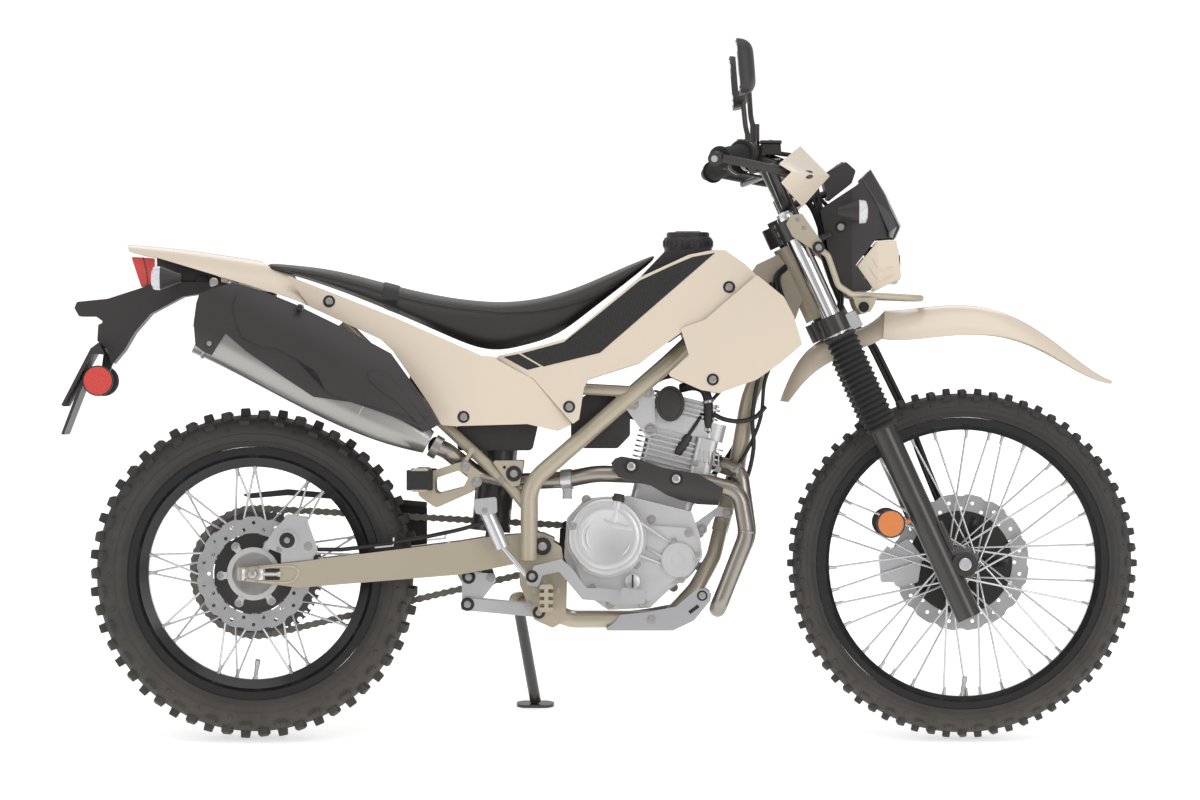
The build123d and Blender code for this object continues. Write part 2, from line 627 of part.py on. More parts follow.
SILENCER_Y = -138.0
SILENCER_FRONT, SILENCER_REAR = (338, 572), (-84, 800)
SILENCER_RUN = Vector(SILENCER_REAR[0] - SILENCER_FRONT[0], 0, SILENCER_REAR[1] - SILENCER_FRONT[1])
with BuildPart() as header_pipe:
    outlet = Vector(347.0, -118.6, 567.8)
    add(tube([HEADER_START, HEADER_TURN, (952, -48, 395), (892, -48, 252), (892, -92, 252),
              (948, -92, 396), (934, -92, 478), (872, -90, 494), (743, -88, 509), (660, -84, 512),
              (599, -66, 500), (510, -60, 496), (430, -70, 510), (372, -98, 556), outlet],
             HEADER_R, [30, 60, 21, 21, 60, 40, 40, 80, 120, 70, 60, 60, 40]))
keep(header_pipe, "header_pipe")

with BuildPart() as silencer:
    # columns: share of the length, shift towards the frame, width, height
    for share, inward, width, height in ((0.0, 12, 46, 46), (0.16, 2, 66, 84), (0.45, 0, 84, 112),
                                         (1.0, 0, 88, 128)):
        spot = Vector(SILENCER_FRONT[0], SILENCER_Y + inward, SILENCER_FRONT[1]) + SILENCER_RUN * share
        with BuildSketch(Plane(origin=spot, x_dir=(0, 1, 0), z_dir=SILENCER_RUN)):
            RectangleRounded(width, height, width / 2 - 1)
    loft()
    tail = Vector(SILENCER_REAR[0], SILENCER_Y, SILENCER_REAR[1])
    with BuildSketch(Plane(origin=tail, z_dir=SILENCER_RUN)):
        Circle(19)
    extrude(amount=22)
keep(silencer, "silencer")

with BuildPart() as exhaust_guards:
    add(side_plate([(-103, 836), (-95, 859), (-34, 877), (84, 836), (267, 742), (360, 607), (336, 593),
                    (294, 613), (192, 649), (120, 659), (-9, 747), (-47, 780), (-74, 738), (-105, 757)],
                   -184, -188, 4))
    add(side_plate([(687, 530), (707, 545), (743, 538), (788, 522), (853, 512), (902, 483), (892, 451),
                    (853, 453), (795, 470), (762, 490), (700, 506)], -109, -113, 4))
    for x, z in ((701, 522), (793, 497)):
        add(cross_rod(x, z, -105.6, -110, 6))
    # standoffs on the flat of the silencer's flank
    for share, width in ((0.5, 84.4), (0.9, 87.3)):
        spot = Vector(SILENCER_FRONT[0], SILENCER_Y, SILENCER_FRONT[1]) + SILENCER_RUN * share
        add(cross_rod(spot.X, spot.Z, SILENCER_Y - width / 2 - 2 * FIT, -185, 9))
keep(exhaust_guards, "exhaust_guards")

with BuildPart() as air_box:
    add(side_plate([(300, 655), (455, 655), (455, 712), (300, 742)], 68, -68, 8))
    for piece in both_sides(side_plate([(392, 556), (535, 556), (545, 600), (535, 664), (392, 664)],
                                       72, 43, 8)):
        add(piece)
    add(side_plate([(610, 560), (700, 560), (724, 585), (724, 640), (690, 664), (640, 664), (610, 640)],
                   48, -56, 10))
    # inlet tube, square to the back of the cylinder head
    inlet_z = HEAD_BASE + HEAD_T / 2
    add(rod(CYLINDER.from_local_coords((HEAD_SHIFT - HEAD_L / 2 - FIT, 0, inlet_z)),
            CYLINDER.from_local_coords((HEAD_SHIFT - HEAD_L / 2 - 45, 0, inlet_z)), HEAD_T / 2 - 2))
    # lugs beside the seat rails
    add(cross_rod(445, 697, RAIL_HALF - RAIL_R - FIT, RAIL_R + FIT - RAIL_HALF, 10))
keep(air_box, "air_box")

with BuildPart() as skid_plate:
    # a pan under the cradle tubes, with flanks beside them
    add(side_plate([(672, 211), (806, 211), (846, 230), (877, 268), (880, 282), (868, 291), (852, 291),
                    (812, 257), (758, 247), (705, 241), (695, 228)], 100, -100, 3))
    add(side_plate([(600, 215.5), (804.5, 215.5), (842, 234), (873, 271), (900, 300), (900, 400),
                    (600, 400)], 97, -97), mode=Mode.SUBTRACT)
    # mounting lugs on the cradle tubes
    for across in (1, -1):
        add(cross_rod(764, 232, across * 98, across * 87.6, 8))
keep(skid_plate, "skid_plate")


# ---- tank, seat and body panels -----------------------------------------------------------------
PANEL_T = 4.0
TANK_HALF = 86.0


def bowed_sheet(low, high, thick):
    """A sheet bowed in plan, lofted from a low curve to a high one; each is (z, three (x, y) points)."""
    with BuildPart() as sheet:
        for z, (rear, middle, front) in (low, high):
            inner = [(x, y - thick) for x, y in (rear, middle, front)]
            with BuildSketch(Plane.XY.offset(z)):
                with BuildLine():
                    ThreePointArc(rear, middle, front)
                    Line(front, inner[2])
                    ThreePointArc(inner[2], inner[1], inner[0])
                    Line(inner[0], rear)
                make_face()
        loft()
    return sheet.part


def trimmed(sheet, outline, corner):
    """A sheet cut to a side-view outline."""
    with BuildPart() as panel:
        add(sheet)
        add(side_plate(outline, 400, 1, corner), mode=Mode.INTERSECT)
    return panel.part


SHROUD_SHEET = bowed_sheet((590, [(455, 112), (720, 152), (1000, 176)]),
                           (965, [(455, 90), (720, 118), (1000, 118)]), PANEL_T)
WING_SHEET = bowed_sheet((590, [(760, 156), (910, 190), (1080, 198)]),
                         (965, [(760, 110), (910, 132), (1080, 134)]), PANEL_T)
SHROUD_OUTLINE = [
    (467, 737), (520, 749), (601, 771), (666, 825), (743, 888), (836, 931), (882, 940), (905, 940),
    (944, 913), (969, 888), (870, 800), (840, 796), (743, 724), (643, 692), (635, 674), (626, 616),
    (614, 607), (539, 693), (475, 727),
]
WING_OUTLINE = [
    (966, 892), (1017, 850), (1036, 813), (1052, 759), (1011, 724), (965, 692), (894, 666),
    (859, 672), (793, 701), (836, 738), (820, 790), (866, 806),
]
with BuildPart() as shrouds:
    for piece in both_sides(
        trimmed(SHROUD_SHEET, SHROUD_OUTLINE, 3), trimmed(WING_SHEET, WING_OUTLINE, 6),
        cross_rod(905, 835.3, 134, 151, 3.5), cross_rod(945, 870, 130, 146, 3.5),
        cross_rod(800, 870, TANK_HALF + FIT, 126, 9),
    ):
        add(piece)
keep(shrouds, "shrouds")

COVER_SHEET = bowed_sheet((590, [(30, 112), (330, 132), (625, 124)]),
                          (910, [(30, 98), (330, 108), (625, 98)]), PANEL_T)
COVER_OUTLINE = [
    (60, 891), (72, 890), (263, 815), (439, 738), (465, 736), (473, 727.7), (538, 692.8), (613, 606.4),
    (585, 593), (527, 607), (387, 603), (363, 605), (340, 645), (269, 747), (246, 769), (109, 832),
    (88, 862),
]
with BuildPart() as side_covers:
    for piece in both_sides(trimmed(COVER_SHEET, COVER_OUTLINE, 4),
                            cross_rod(440, 698.6, RAIL_HALF + RAIL_R + FIT, 123, 8)):
        add(piece)
keep(side_covers, "side_covers")

with BuildPart() as fuel_tank:
    add(side_plate([(612, 758), (800, 764), (862, 807.5), (880, 816), (914, 834.3), (932, 884),
                    (928, 912), (902, 934), (868, 946), (790, 938), (744, 890), (664, 824), (616, 776)],
                   TANK_HALF, -TANK_HALF, 8))
    with BuildSketch(Plane.XY.offset(930)):
        with Locations((836, 0)):
            Circle(46)
    extrude(amount=36)
    with BuildSketch(Plane.XY.offset(966)):
        with Locations((836, 0)):
            Circle(40)
    extrude(amount=10)
keep(fuel_tank, "fuel_tank")

SEAT_OUTLINE = [
    (20, 916), (130, 902), (248, 872), (383, 843), (473, 834), (560, 844), (639, 871), (666, 882),
    (743, 919), (778, 938), (740, 896), (660, 834), (604, 776), (470, 742), (438, 744), (263, 821),
    (74, 895), (50, 900),
]
with BuildPart() as seat:
    add(side_plate(SEAT_OUTLINE, 105, -105, 4))
    with BuildSketch(Plane.XY.offset(700)) as plan:
        with BuildLine():
            for flank in (1, -1):
                ThreePointArc((10, flank * 66), (110, flank * 88), (230, flank * 94))
                ThreePointArc((230, flank * 94), (520, flank * 86), (790, flank * 54))
            Line((790, 54), (790, -54))
            Line((10, -66), (10, 66))
        make_face()
    extrude(amount=300, mode=Mode.INTERSECT)
keep(seat, "seat")


def arch_loft(table, thick):
    """A sheet lofted through arches; each row gives its crest and edge in side view and half width."""
    with BuildPart() as sheet:
        for crest_x, crest_z, edge_x, edge_z, half in table:
            edge = Vector(edge_x, 0, edge_z)
            rise = Vector(crest_x, 0, crest_z) - edge
            high = rise.length
            with BuildSketch(Plane(origin=edge, x_dir=(0, 1, 0), z_dir=Vector(0, 1, 0).cross(rise))):
                with BuildLine():
                    ThreePointArc((half, 0), (0, high), (-half, 0))
                    Line((-half, 0), (thick - half, 0))
                    ThreePointArc((thick - half, 0), (0, high - thick), (half - thick, 0))
                    Line((half - thick, 0), (half, 0))
                make_face()
        loft()
    return sheet.part


TAIL_OUTLINE = [
    (-250, 955), (-103, 941), (12, 923.5), (19.8, 915.6), (49.8, 899.6), (73.9, 894.6), (88, 862),
    (105, 836), (38, 859), (-33, 881), (-187, 927), (-240, 936),
]
with BuildPart() as rear_fender:
    # columns: crest x and z, edge x and z, half width
    add(arch_loft([(-247, 953, -240, 938, 44), (-103, 939, -103, 900, 82), (18, 920.5, 18, 862, 100),
                   (110, 905, 110, 830, 106)], 3.5))
    add(side_plate(TAIL_OUTLINE, 200, -200), mode=Mode.INTERSECT)
keep(rear_fender, "rear_fender")

with BuildPart() as plate_carrier:
    add(side_plate([(40, 866), (-76, 880), (-188, 880), (-217, 869), (-282, 848), (-341, 842),
                    (-346, 830), (-337, 814), (-305, 814), (-289, 803), (-300, 798), (-302, 767),
                    (-284, 752), (-274, 720), (-250, 749), (-230, 783), (-199, 819), (-171, 834),
                    (-137, 852), (-98, 858), (40, 852)], 44, -44, 3))
    add(side_plate([(-296, 764), (-312, 752), (-368, 644), (-364, 640), (-308, 742), (-286, 740)],
                   84, -84, 1))
    add(side_plate([(-322, 712), (-369, 588), (-364, 586), (-316, 710)], 76, -76, 1))
    add(cross_rod(-298, 690, 66, -66, 6))
    # posts under the crest of the rear fender
    for x, top in ((-103, 934.0), (0, 918.2)):
        add(rod((x, 0, 864), (x, 0, top), 8))
    add(side_plate([(-300, 684), (-292, 744), (-270, 738), (-288, 684)], 12, -12))
    for across in (1, -1):
        with BuildSketch(side(across * 76 if across > 0 else -64)):
            with Locations((-298, 690)):
                Circle(28)
        extrude(amount=12)
        with BuildSketch(Plane(origin=(-150, across * 40, 884), z_dir=(0, across, 0))):
            Circle(8)
        extrude(amount=44)
keep(plate_carrier, "plate_carrier")

with BuildPart() as tail_lamps:
    add(side_plate([(-237, 929), (-192, 926), (-191, 879.4), (-217, 869.5)], 38, -38, 3))
    for across in (1, -1):
        with BuildSketch(Plane(origin=(-298, across * (76 + FIT), 690), z_dir=(0, across, 0))):
            Circle(27)
        extrude(amount=6)
keep(tail_lamps, "tail_lamps")


def signal(lens_x, z, across, facing):
    """A turn signal: a coned body behind a round lens, facing forward (1) or back (-1)."""
    # columns: distance behind the lens face, radius
    profile = [(0, 0), (0, 15), (3, 21), (16, 22.5), (18, 22.5), (44, 12), (56, 8), (56, 0)]
    with BuildPart() as lamp:
        with BuildSketch(side(across)):
            with BuildLine():
                Polyline(*[(lens_x - facing * back, z + r) for back, r in profile], close=True)
            make_face()
        revolve(axis=Axis((0, across, z), (1, 0, 0)))
    return lamp.part


SIGNAL_Y = 112.0
with BuildPart() as rear_signals:
    for across in (1, -1):
        add(signal(-192, 886, across * SIGNAL_Y, -1))
        add(cross_rod(-150, 884, across * (84 + FIT), across * SIGNAL_Y, 8))
keep(rear_signals, "rear_signals")

# ---- controls and running gear on the chassis -----------------------------------------------------
with BuildPart() as footpegs:
    for across in (1, -1):
        # rider's peg on its bracket
        with BuildSketch(Plane(origin=(564, across * (PLATE_OUT + FIT), 270), z_dir=(0, across, 0))):
            RectangleRounded(46, 34, 8)
        extrude(amount=16)
        with BuildSketch(Plane(origin=(564, across * (PLATE_OUT + 16), 276), z_dir=(0, across, 0))):
            RectangleRounded(52, 26, 6)
            with GridLocations(14, 1, 3, 1):
                Rectangle(7, 40, mode=Mode.SUBTRACT)
            RectangleRounded(52, 8, 2)
        extrude(amount=86)
        # passenger's peg on its loop
        with BuildSketch(side(across * 118 if across > 0 else -108)) as loop:
            with BuildLine():
                Polyline((318, 470), (352, 446), (424, 478), (440, 514), (404, 536), (318, 508), close=True)
            make_face()
            fillet(loop.vertices(), 12)
        extrude(amount=10)
        with BuildSketch(side(across * 118 if across > 0 else -108)) as window:
            with BuildLine():
                Polyline((350, 472), (404, 486), (416, 508), (396, 518), (348, 502), close=True)
            make_face()
            fillet(window.vertices(), 8)
        extrude(amount=10, mode=Mode.SUBTRACT)
        add(rod((404, across * 113, 528), (420, across * 113, 556), 4.5))
        add(cross_rod(420, 556, across * 119, across * 103.3, 6))
        with BuildSketch(Plane(origin=(322, across * 117, 500), z_dir=(0, across, 0))):
            RectangleRounded(44, 34, 8)
        extrude(amount=84)
keep(footpegs, "footpegs")

with BuildPart() as rear_brake_control:
    add(side_plate([(524, 300), (540, 336), (592, 349), (612, 332), (640, 294), (672, 293), (735, 285),
                    (735, 262), (668, 269), (632, 272), (604, 306), (588, 325), (556, 318), (548, 296)],
                   -136, -146, 4))
    add(side_plate([(706, 296), (752, 290), (752, 264), (706, 270)], -140, -184, 5))
    add(cross_rod(536, 316, -PLATE_OUT - FIT, -140, 11))
    # master cylinder and its reservoir
    add(side_plate([(424, 463), (468, 468), (470, 438), (450, 432), (428, 436)], -112, -146, 5))
    add(rod((449, -127, 440), (480, -127, 370), 14))
    add(rod((480, -127, 372), (530, -134, 312), 5))
    add(rod((472, -112, 392), (472, -98, 392), 8))
keep(rear_brake_control, "rear_brake_control")

with BuildPart() as rear_caliper:
    add(side_plate([(20, 372), (44, 408), (66, 430), (104, 422), (124, 366), (118, 352), (60, 356)],
                   REAR_DISC_Y - 8, REAR_DISC_Y - 30, 8))
    add(side_plate([(40, 384), (104, 392), (98, 420), (60, 424)], REAR_DISC_Y + 24, REAR_DISC_Y + 6, 6))
    add(side_plate([(60, 418), (104, 410), (106, 428), (62, 434)], REAR_DISC_Y + 24, REAR_DISC_Y - 30, 5))
    add(side_plate([(54, 362), (116, 360), (116, 347), (54, 340)], -74, REAR_DISC_Y - 30, 2))
    with BuildSketch(side(REAR_DISC_Y - 30)):
        with Locations((66, 384)):
            Circle(19)
    extrude(amount=10)
keep(rear_caliper, "rear_caliper")

with BuildPart() as rear_brake_hose:
    add(tube([(124, -79, 366), (170, -86, 366), (240, -88, 374), (330, -90, 390), (396, -92, 404),
              (430, -102, 414), (454, -107.5, 424)], 4, [60, 120, 200, 120, 60]))
keep(rear_brake_hose, "rear_brake_hose")

with BuildPart() as shift_lever:
    add(side_plate([(636, 306), (640, 290), (700, 286), (762, 300), (762, 316), (700, 302), (652, 306)],
                   142, 132, 4))
    add(cross_rod(646, 298, 132, 54 + FIT, 9))
    add(cross_rod(756, 308, 142, 176, 11))
keep(shift_lever, "shift_lever")

# ---- side stand -----------------------------------------------------------------------------------
STAND_LEN = 262.0
STAND_LEG_R = 11.0
STAND_FOOT = STAND_PIVOT + STAND_DOWN * STAND_LEN
GROUND_UP = Vector(0, -sin(radians(LEAN)), cos(radians(LEAN)))     # the floor's normal when parked


def floor_gap(point):
    """How far a point is above the floor once the machine leans."""
    return point.dot(GROUND_UP) + LIFT


with BuildPart() as side_stand:
    with BuildSketch(Plane(origin=STAND_PIVOT - STAND_AXIS * (STAND_PLATE_T / 2), z_dir=STAND_AXIS)):
        Circle(16)
    extrude(amount=STAND_PLATE_T)
    add(rod(STAND_PIVOT + STAND_DOWN * 10, STAND_FOOT, STAND_LEG_R))
    with BuildSketch(Plane(origin=STAND_PIVOT - STAND_AXIS * (STAND_PLATE_T / 2 + 4), z_dir=STAND_AXIS)):
        Circle(20)
    extrude(amount=4, mode=Mode.SUBTRACT)
    with BuildSketch(Plane(origin=STAND_PIVOT + STAND_AXIS * (STAND_PLATE_T / 2), z_dir=STAND_AXIS)):
        Circle(14)
    extrude(amount=14, mode=Mode.SUBTRACT)
    with BuildSketch(Plane(origin=STAND_PIVOT - STAND_AXIS * 20, z_dir=STAND_AXIS)):
        Circle(STAND_BOLT_R + 0.1)
    extrude(amount=40, mode=Mode.SUBTRACT)
    # foot, flat on the floor
    foot = STAND_FOOT - GROUND_UP * floor_gap(STAND_FOOT)
    with BuildSketch(Plane(origin=foot, x_dir=(1, 0, 0), z_dir=GROUND_UP)):
        RectangleRounded(74, 44, 20)
    extrude(amount=6)
    with BuildSketch(Plane(origin=foot, x_dir=(1, 0, 0), z_dir=GROUND_UP * -1)):
        Rectangle(200, 200)
    extrude(amount=60, mode=Mode.SUBTRACT)
print("stand leg ends above the floor by", round(floor_gap(STAND_FOOT), 2))
keep(side_stand, "side_stand")


# ---- fork ---------------------------------------------------------------------------------------
CLAMP_LOW, CLAMP_LOW_T = 852.0, 36.0          # along the steering axis
CLAMP_HIGH, CLAMP_HIGH_T = 1050.0, 40.0
BOOT_LOW, BOOT_R, BOOT_RIBS = 648.0, 32.0, 18
SLIDER_LOW = 251.0
BOOT_HIGH = CLAMP_LOW - 4


def leg_plane(height, across):
    """The plane square to a fork leg, centred on it."""
    return Plane(
        origin=STEER.from_local_coords((FORK_OFFSET, across * FORK_HALF, height)),
        x_dir=STEER.x_dir, z_dir=STEER.z_dir,
    )


with BuildPart() as fork_clamps:
    for height, thick, clamp_r in ((CLAMP_LOW, CLAMP_LOW_T, 30), (CLAMP_HIGH, CLAMP_HIGH_T, 27)):
        with BuildSketch(along_steer(height)):
            with Locations((FORK_OFFSET, FORK_HALF), (FORK_OFFSET, -FORK_HALF)):
                Circle(clamp_r)
            with Locations((FORK_OFFSET - 4, 0)):
                RectangleRounded(46, 2 * FORK_HALF, 12)
            Circle(32)
            with Locations((FORK_OFFSET, FORK_HALF), (FORK_OFFSET, -FORK_HALF)):
                Circle(FORK_TUBE_R + 0.1, mode=Mode.SUBTRACT)
        extrude(amount=thick)
    # steering stem through the head, with its nut, and the handlebar's risers
    with BuildSketch(along_steer(CLAMP_LOW)):
        Circle(STEM_R)
    extrude(amount=CLAMP_HIGH + CLAMP_HIGH_T - CLAMP_LOW)
    with BuildSketch(along_steer(CLAMP_HIGH + CLAMP_HIGH_T)):
        RegularPolygon(16, 6)
    extrude(amount=9)
    for across in (1, -1):
        with BuildSketch(along_steer(CLAMP_HIGH + CLAMP_HIGH_T)):
            with Locations((30, across * 48)):
                RectangleRounded(34, 30, 6)
        extrude(amount=44)
    with BuildSketch(Plane(origin=STEER.from_local_coords((30, 70, CLAMP_HIGH + CLAMP_HIGH_T + 26)),
                           z_dir=(0, -1, 0))):
        Circle(BAR_R + 0.1)
    extrude(amount=140, mode=Mode.SUBTRACT)
keep(fork_clamps, "fork_clamps")

with BuildPart() as fork_tubes:
    for across in (1, -1):
        with BuildSketch(leg_plane(BOOT_LOW + 6, across)):
            Circle(FORK_TUBE_R)
        extrude(amount=CLAMP_HIGH + CLAMP_HIGH_T + 6 - BOOT_LOW - 6)
keep(fork_tubes, "fork_tubes")

with BuildPart() as fork_boots:
    pitch = (BOOT_HIGH - BOOT_LOW) / BOOT_RIBS
    rib = [(FORK_TUBE_R + FIT, BOOT_LOW)]
    for index in range(BOOT_RIBS):
        rib += [(BOOT_R - 5, BOOT_LOW + pitch * index), (BOOT_R, BOOT_LOW + pitch * (index + 0.5))]
    rib += [(BOOT_R - 5, BOOT_HIGH), (FORK_TUBE_R + FIT, BOOT_HIGH)]
    for across in (1, -1):
        axis_plane = leg_plane(0, across)
        with BuildSketch(Plane(origin=axis_plane.origin, x_dir=STEER.x_dir, z_dir=STEER.y_dir * -1)):
            with BuildLine():
                Polyline(*rib, close=True)
            make_face()
        revolve(axis=Axis(axis_plane.origin, STEER.z_dir))
    for across in (1, -1):
        with BuildSketch(leg_plane(BOOT_LOW, across)):
            Circle(SLIDER_R + FIT)
        extrude(amount=7, mode=Mode.SUBTRACT)
keep(fork_boots, "fork_boots")

with BuildPart() as fork_sliders:
    for across in (1, -1):
        with BuildSketch(leg_plane(SLIDER_LOW, across)):
            Circle(SLIDER_R)
        extrude(amount=BOOT_LOW + 6 - SLIDER_LOW - FIT)
        with BuildSketch(side(across * FORK_HALF + 21)):
            with Locations((WHEELBASE, FRONT_TYRE_R)):
                Circle(24)
        extrude(amount=42)
    # the front axle belongs to the fork
    add(cross_rod(WHEELBASE, FRONT_TYRE_R, FORK_HALF + 30, -FORK_HALF - 30, AXLE_R))
    # leg guards in front of the sliders, and the left one's disc shield
    for across in (1, -1):
        guard = leg_plane(SLIDER_LOW + 130, across)
        with BuildSketch(guard):
            with Locations((SLIDER_R - 1, 0)):
                RectangleRounded(12, 40, 4)
        extrude(amount=180 if across > 0 else 60)
keep(fork_sliders, "fork_sliders")

with BuildPart() as front_fender:
    # columns: crest x and z, edge x and z, half width
    add(arch_loft([(1656, 690, 1652, 684, 20), (1572, 744, 1566, 722, 52), (1455, 818, 1455, 772, 66),
                   (1330, 836, 1330, 776, 70), (1215, 826, 1210, 772, 64)], 3.5))
    add(arch_loft([(1216, 826, 1211, 772, 58), (1150, 786, 1168, 752, 56), (1083, 762, 1106, 724, 56),
                   (1038, 709, 1060, 688, 54), (1013, 651, 1029, 649, 50)], 3.5))
    add(side_plate([(1110, 774), (1152, 792), (1152, 780), (1116, 764)], 30, -30))
keep(front_fender, "front_fender")

with BuildPart() as front_caliper:
    # body behind the left leg, astride the disc
    add(side_plate([(1240, 372), (1262, 386), (1290, 350), (1282, 300), (1240, 290), (1222, 330)],
                   FRONT_DISC_Y + 26, FRONT_DISC_Y + 7, 7))
    add(side_plate([(1240, 372), (1262, 386), (1290, 350), (1282, 300), (1240, 290), (1222, 330)],
                   FRONT_DISC_Y - 7, FRONT_DISC_Y - 18, 7))
    add(side_plate([(1276, 362), (1297, 358), (1310, 320), (1276, 312)], FRONT_DISC_Y + 31,
                   FRONT_DISC_Y + 24, 3))
    add(side_plate([(1206, 350), (1228, 376), (1228, 300), (1210, 300)], FRONT_DISC_Y + 26,
                   FRONT_DISC_Y - 18, 4))
    add(side_plate([(1206, 350), (1250, 376), (1250, 300), (1210, 300)], FRONT_DISC_Y + 26,
                   FRONT_DISC_Y + 7, 4))
    add(side_plate([(1206, 350), (1250, 376), (1250, 300), (1210, 300)], FRONT_DISC_Y - 7,
                   FRONT_DISC_Y - 18, 4))
keep(front_caliper, "front_caliper")

with BuildPart() as front_reflectors:
    for across in (1, -1):
        add(rod((1223, across * (FORK_HALF + 14), 416), (1223, across * (FORK_HALF + 23), 416), 25))
        add(rod((1223, across * (FORK_HALF + 14), 416), (1259.8, across * (FORK_HALF + 4.3), 421.4), 5))
keep(front_reflectors, "front_reflectors")

# ---- cockpit --------------------------------------------------------------------------------------
BAR_AT = STEER.from_local_coords((30, 0, CLAMP_HIGH + CLAMP_HIGH_T + 26))
GRIP_IN = (943.0, 262.0, 1122.0)
GRIP_OUT = (888.0, 408.0, 1106.0)
with BuildPart() as handlebar:
    half_bar = [(BAR_AT.X, 0.5, BAR_AT.Z), (BAR_AT.X, 84, BAR_AT.Z), (982.0, 180.0, 1118.0), GRIP_IN,
                GRIP_OUT]
    for piece in both_sides(tube(half_bar, BAR_R, [40, 55, 60])):
        add(piece)
    add(cross_rod(BAR_AT.X, BAR_AT.Z, 2, -2, BAR_R))
keep(handlebar, "handlebar")

grip_run = (Vector(*GRIP_OUT) - Vector(*GRIP_IN)).normalized()
GRIP_R = 16.5
BAR_BEND = (982.0, 180.0, 1118.0)
BAR_RUN = (Vector(*GRIP_IN) - Vector(*BAR_BEND)).normalized()
PERCH_AT = Vector(*BAR_BEND) + BAR_RUN * 52
bar_clear = tube(half_bar, BAR_R + 0.1, [40, 55, 60])
with BuildPart() as bar_controls:
    grip_start = Vector(*GRIP_IN) + grip_run * 26
    with BuildSketch(Plane(origin=grip_start, z_dir=grip_run)):
        Circle(GRIP_R)
        Circle(BAR_R + 0.1, mode=Mode.SUBTRACT)
    extrude(amount=124)
    # switch housing, then the lever perch with the mirror's boss
    with BuildSketch(Plane(origin=Vector(*GRIP_IN) - grip_run * 2, z_dir=grip_run)):
        Circle(24)
    extrude(amount=30)
    with BuildSketch(Plane(origin=PERCH_AT - BAR_RUN * 9, z_dir=BAR_RUN)):
        Circle(18)
    extrude(amount=18)
    add(rod(PERCH_AT, PERCH_AT + Vector(0, 0, 26), 9))
    add(rod(PERCH_AT + Vector(8, 0, -8), (1000, 232, 1100), 9))
    add(tube([(998, 224, 1100), (988, 300, 1095), (950, 396, 1082)], 6, [80]))
    add(bar_clear, mode=Mode.SUBTRACT)
    mirror(about=Plane.XZ)
keep(bar_controls, "bar_controls")

STRAP_R = 8.0
STRAP_ROUTE = [(894, 420, 1105), (1000, 400, 1084), (1070, 300, 1076), (1040, 212, 1094), (982, 192, 1116)]
STRAP_BENDS = [60, 70, 40]
with BuildPart() as hand_guards:
    add(rod(Vector(*GRIP_OUT) + grip_run * FIT, Vector(*GRIP_OUT) + grip_run * 24, 13))
    add(tube(STRAP_ROUTE, STRAP_R, STRAP_BENDS))
    with BuildSketch(Plane(origin=Vector(*BAR_BEND) + BAR_RUN * 14, z_dir=BAR_RUN)):
        Circle(18)
    extrude(amount=16)
    add(bar_clear, mode=Mode.SUBTRACT)
    mirror(about=Plane.XZ)
keep(hand_guards, "hand_guards")

with BuildPart() as guard_shells:
    # folded shields, lofted from the middle of the bar out to the end of the strap
    # columns: across, then top, front and bottom corners in side view
    for across, top, front, bottom in (
        (232, (1046, 1135), (1102, 1078), (1050, 1019)),
        (404, (1004, 1098), (1030, 1080), (1008, 1056)),
    ):
        with BuildSketch(side(across)):
            with BuildLine():
                Polyline(top, front, bottom, (bottom[0] - 3, bottom[1] + 4), (front[0] - 6, front[1]),
                         (top[0] - 3, top[1] - 4), close=True)
            make_face()
    loft(ruled=True)
    mirror(about=Plane.XZ)
    for piece in both_sides(tube(STRAP_ROUTE, STRAP_R + FIT, STRAP_BENDS)):
        add(piece, mode=Mode.SUBTRACT)
keep(guard_shells, "guard_shells")

with BuildPart() as mirrors:
    foot = PERCH_AT + Vector(0, 0, 26 + FIT)
    add(tube([foot + Vector(0, 0, 12), (952, 228, 1190), (948, 262, 1238), (944, 300, 1262)], 5, [30, 30]))
    add(rod(foot, foot + Vector(0, 0, 30), 9))
    for forward, width, height in ((0, 150, 104), (14, 146, 100), (30, 96, 60)):
        with BuildSketch(Plane(origin=(926 + forward, 330, 1280), x_dir=(0, 1, 0), z_dir=(1, 0, 0.08))):
            RectangleRounded(width, height, 24)
    loft()
    mirror(about=Plane.XZ)
keep(mirrors, "mirrors")

with BuildPart() as meter:
    add(side_plate([(1094, 1080), (1138, 1112), (1158, 1094), (1150, 1070), (1104, 1034)], 62, -62, 6))
    for across in (1, -1):
        add(rod((1118, across * 48, 1056), STEER.from_local_coords((48.1, across * 48, 1112)), 6))
keep(meter, "meter")

COWL_OUTLINE = [(1088, 1019), (1164, 1069), (1183, 1095), (1243, 985), (1233, 964), (1196, 962),
                (1156, 911), (1190, 863), (1137, 863), (1106, 933)]
with BuildPart() as headlamp_cowl:
    add(side_plate(COWL_OUTLINE, 88, -88, 4))
    with BuildSketch(Plane.XY.offset(850)) as plan:
        with BuildLine():
            Polyline((1080, 74), (1150, 86), (1200, 82), (1250, 52), (1250, -52), (1200, -82), (1150, -86),
                     (1080, -74), close=True)
        make_face()
    extrude(amount=260, mode=Mode.INTERSECT)
    # open behind, a shell about the lamp
    add(side_plate([(1060, 990), (1076, 1004), (1160, 1056), (1178, 1078), (1232, 984), (1224, 972),
                    (1190, 972), (1146, 911), (1176, 870), (1128, 850), (1060, 850)], 72, -72),
        mode=Mode.SUBTRACT)
    with BuildSketch(Plane(origin=(1130, 0, 912), x_dir=(0, 1, 0), z_dir=(1, 0, 0))):
        RectangleRounded(92, 74, 26)
    extrude(amount=110, mode=Mode.SUBTRACT)
    for across in (1, -1):
        add(rod((1136, across * 80, 1013), (1136, across * SIGNAL_Y, 1013), 7))
        add(rod(STEER.from_local_coords((FORK_OFFSET + 16.6, across * 80, 1030)),
                STEER.from_local_coords((FORK_OFFSET + 66, across * 80, 1030)), 6))
keep(headlamp_cowl, "headlamp_cowl")

